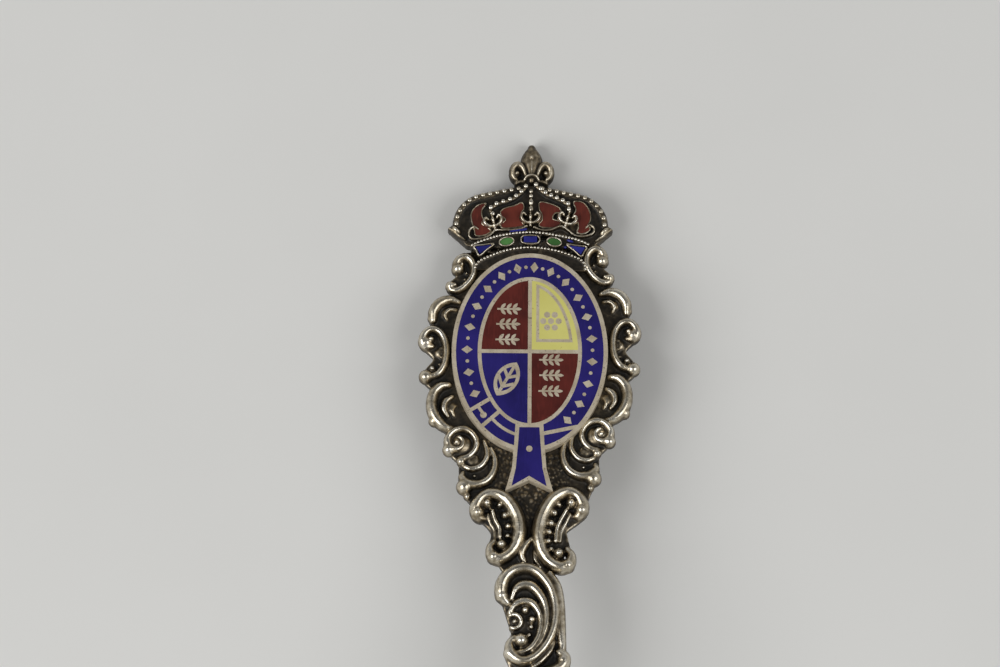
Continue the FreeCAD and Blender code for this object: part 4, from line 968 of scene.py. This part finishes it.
def bowl():
    """An egg-shaped dish: rings drawn down from the rim to the bottom, given a wall and a rounded edge."""
    dish = bmesh.new()
    bmesh.ops.create_circle(dish, cap_ends=False, radius=1, segments=BOWL_SIDES)
    edges = list(dish.edges)
    quarter = math.pi / 2 / BOWL_RINGS
    for n in range(1, BOWL_RINGS):
        grown = bmesh.ops.extrude_edge_only(dish, edges=edges)["geom"]
        last = [g for g in grown if isinstance(g, bmesh.types.BMVert)]
        edges = [g for g in grown if isinstance(g, bmesh.types.BMEdge) and all(v in last for v in g.verts)]
        shrink = math.cos(quarter * n) / math.cos(quarter * (n - 1))
        bmesh.ops.scale(dish, verts=last, vec=(shrink, shrink, 1))
        drop = math.sin(quarter * (n - 1)) - math.sin(quarter * n)
        bmesh.ops.translate(dish, verts=last, vec=(0, 0, drop))
    bmesh.ops.contextual_create(dish, geom=edges)
    deep = BOWL_HIGH.z - BOWL_LOW.z
    tip_run, heel_run = BOWL_MIDDLE - BOWL_LOW.y, BOWL_HIGH.y - BOWL_MIDDLE
    for vert in dish.verts:
        run = tip_run if vert.co.y < 0 else heel_run
        x, y, z = vert.co
        vert.co = (x * BOWL_HALF_WIDE, BOWL_MIDDLE + y * run, BOWL_HIGH.z + z * deep)
    bmesh.ops.recalc_face_normals(dish, faces=dish.faces)
    bmesh.ops.scale(dish, verts=dish.verts, vec=(MM, MM, MM))
    mesh = bpy.data.meshes.new("bowl")
    dish.to_mesh(mesh)
    dish.free()
    piece = show("bowl_silver", mesh, bowl_metal, "bowl")
    wall = piece.modifiers.new("wall", "SOLIDIFY")
    wall.thickness = BOWL_WALL * MM
    wall.offset = -1
    edge = piece.modifiers.new("edge", "BEVEL")
    edge.width = EDGE_ROUND * MM
    edge.segments = 3
    edge.limit_method = "ANGLE"
    edge.angle_limit = math.radians(EDGE_ANGLE)


HEEL_TILT = math.radians(24)
HEEL_SHIFT = Vector((0, 0.0004, -0.0001))
HEEL_TAPER, HEEL_LONG, HEEL_THICK = 0.35, 1.15, 0.52


def heel():
    """The drop that carries the stem on under the bowl."""
    low, high = (Vector(corner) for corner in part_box("bowl_heel"))
    drop = bmesh.new()
    bmesh.ops.create_icosphere(drop, subdivisions=4, radius=1)
    for vert in drop.verts:
        vert.co.x *= 1 - HEEL_TAPER * max(0.0, -vert.co.y) ** 1.5
    size = (high - low) / 2
    place = Matrix.Translation((low + high) / 2 + HEEL_SHIFT) @ Matrix.Rotation(HEEL_TILT, 4, "X")
    swell = Matrix.Diagonal((size.x, size.y * HEEL_LONG, size.z * HEEL_THICK, 1))
    bmesh.ops.transform(drop, matrix=place @ swell, verts=drop.verts)
    mesh = bpy.data.meshes.new("bowl_heel")
    drop.to_mesh(mesh)
    drop.free()
    show("heel_drop", mesh, bowl_metal, "bowl_heel")


crown()
fleurons()
pearls()
circlet()
beading("beading_upper", UPPER_ROW)
beading("beading_lower", LOWER_ROW)
spills()
fleur()
stem()
bowl()
heel()

# ---------------------------------------------------------------- floor, light and camera

TABLE_HALF = 1.2


def pale_floor():
    table = bmesh.new()
    bmesh.ops.create_grid(table, x_segments=1, y_segments=1, size=TABLE_HALF)
    mesh = bpy.data.meshes.new("table")
    table.to_mesh(mesh)
    table.free()
    floor = bpy.data.objects.new("table", mesh)
    bpy.context.collection.objects.link(floor)
    r = Recipe("pale_paper_board")
    tone = r.ramp(r.noise(35, 3), [(0.3, (0.775, 0.775, 0.755)), (0.7, (0.80, 0.80, 0.78))])
    r.set(Base_Color=tone, Roughness=0.75)
    mesh.materials.append(r.material)


LIT_POINT = Vector((0, 0.04, 0))
WINDOW = 0.56


def soft_light(name, place, watts):
    """A square window of light, turned to the middle of the spoon's head."""
    lamp = bpy.data.lights.new(name, "AREA")
    lamp.shape = "RECTANGLE"
    lamp.size, lamp.size_y = WINDOW, WINDOW
    lamp.energy = watts
    holder = bpy.data.objects.new(name, lamp)
    holder.location = place
    holder.rotation_euler = (LIT_POINT - Vector(place)).to_track_quat("-Z", "Y").to_euler()
    bpy.context.collection.objects.link(holder)


def room(overhead, low_down):
    """A dark ceiling over pale walls: the sky brightens from the zenith to the horizon."""
    world = bpy.data.worlds.new("studio")
    bpy.context.scene.world = world
    world.use_nodes = True
    tree = world.node_tree
    place = tree.nodes.new("ShaderNodeTexCoord").outputs["Generated"]
    parts = tree.nodes.new("ShaderNodeSeparateXYZ")
    tree.links.new(place, parts.inputs["Vector"])
    rise = tree.nodes.new("ShaderNodeMapRange")
    for key, value in (("From Min", 0.25), ("From Max", 0.95), ("To Min", low_down), ("To Max", overhead)):
        rise.inputs[key].default_value = value
    tree.links.new(parts.outputs["Z"], rise.inputs["Value"])
    back = tree.nodes["Background"]
    back.inputs["Color"].default_value = (1.0, 0.99, 0.97, 1)
    tree.links.new(rise.outputs["Result"], back.inputs["Strength"])


CAMERA_TILT, CAMERA_ROLL = 80.5, 0.5
CAMERA_DISTANCE, LENS, SENSOR = 0.231, 100.0, 36.0
SHARE_LEFT, SHARE_UP = 0.0298, 0.0179


def look_down():
    """The camera, over the bowl's side of the head, with the oval a little right of the middle."""
    tilt = math.radians(CAMERA_TILT)
    wide = CAMERA_DISTANCE * SENSOR / LENS
    aim = (OVAL_MIDDLE + FACE_HEIGHT * OUT_OF_FACE) * MM
    direction = Vector((0, -math.cos(tilt), math.sin(tilt)))
    camera = bpy.data.cameras.new("camera")
    camera.lens, camera.sensor_width = LENS, SENSOR
    camera.clip_start, camera.clip_end = 0.01, 10
    holder = bpy.data.objects.new("camera", camera)
    turn = direction.to_track_quat("Z", "Y") @ Quaternion((0, 0, 1), math.radians(CAMERA_ROLL))
    right, up = turn @ Vector((1, 0, 0)), turn @ Vector((0, 1, 0))
    aside = up * wide * SHARE_UP - right * wide * SHARE_LEFT
    holder.location = aim + direction * CAMERA_DISTANCE + aside
    holder.rotation_euler = turn.to_euler()
    bpy.context.collection.objects.link(holder)
    bpy.context.scene.camera = holder


pale_floor()
room(0.12, 0.41)
soft_light("window_left", (-0.58, -0.24, 0.48), 3.9)
soft_light("window_right", (0.52, -0.20, 0.54), 2.2)
look_down()
bpy.context.scene.view_settings.view_transform = "Standard"
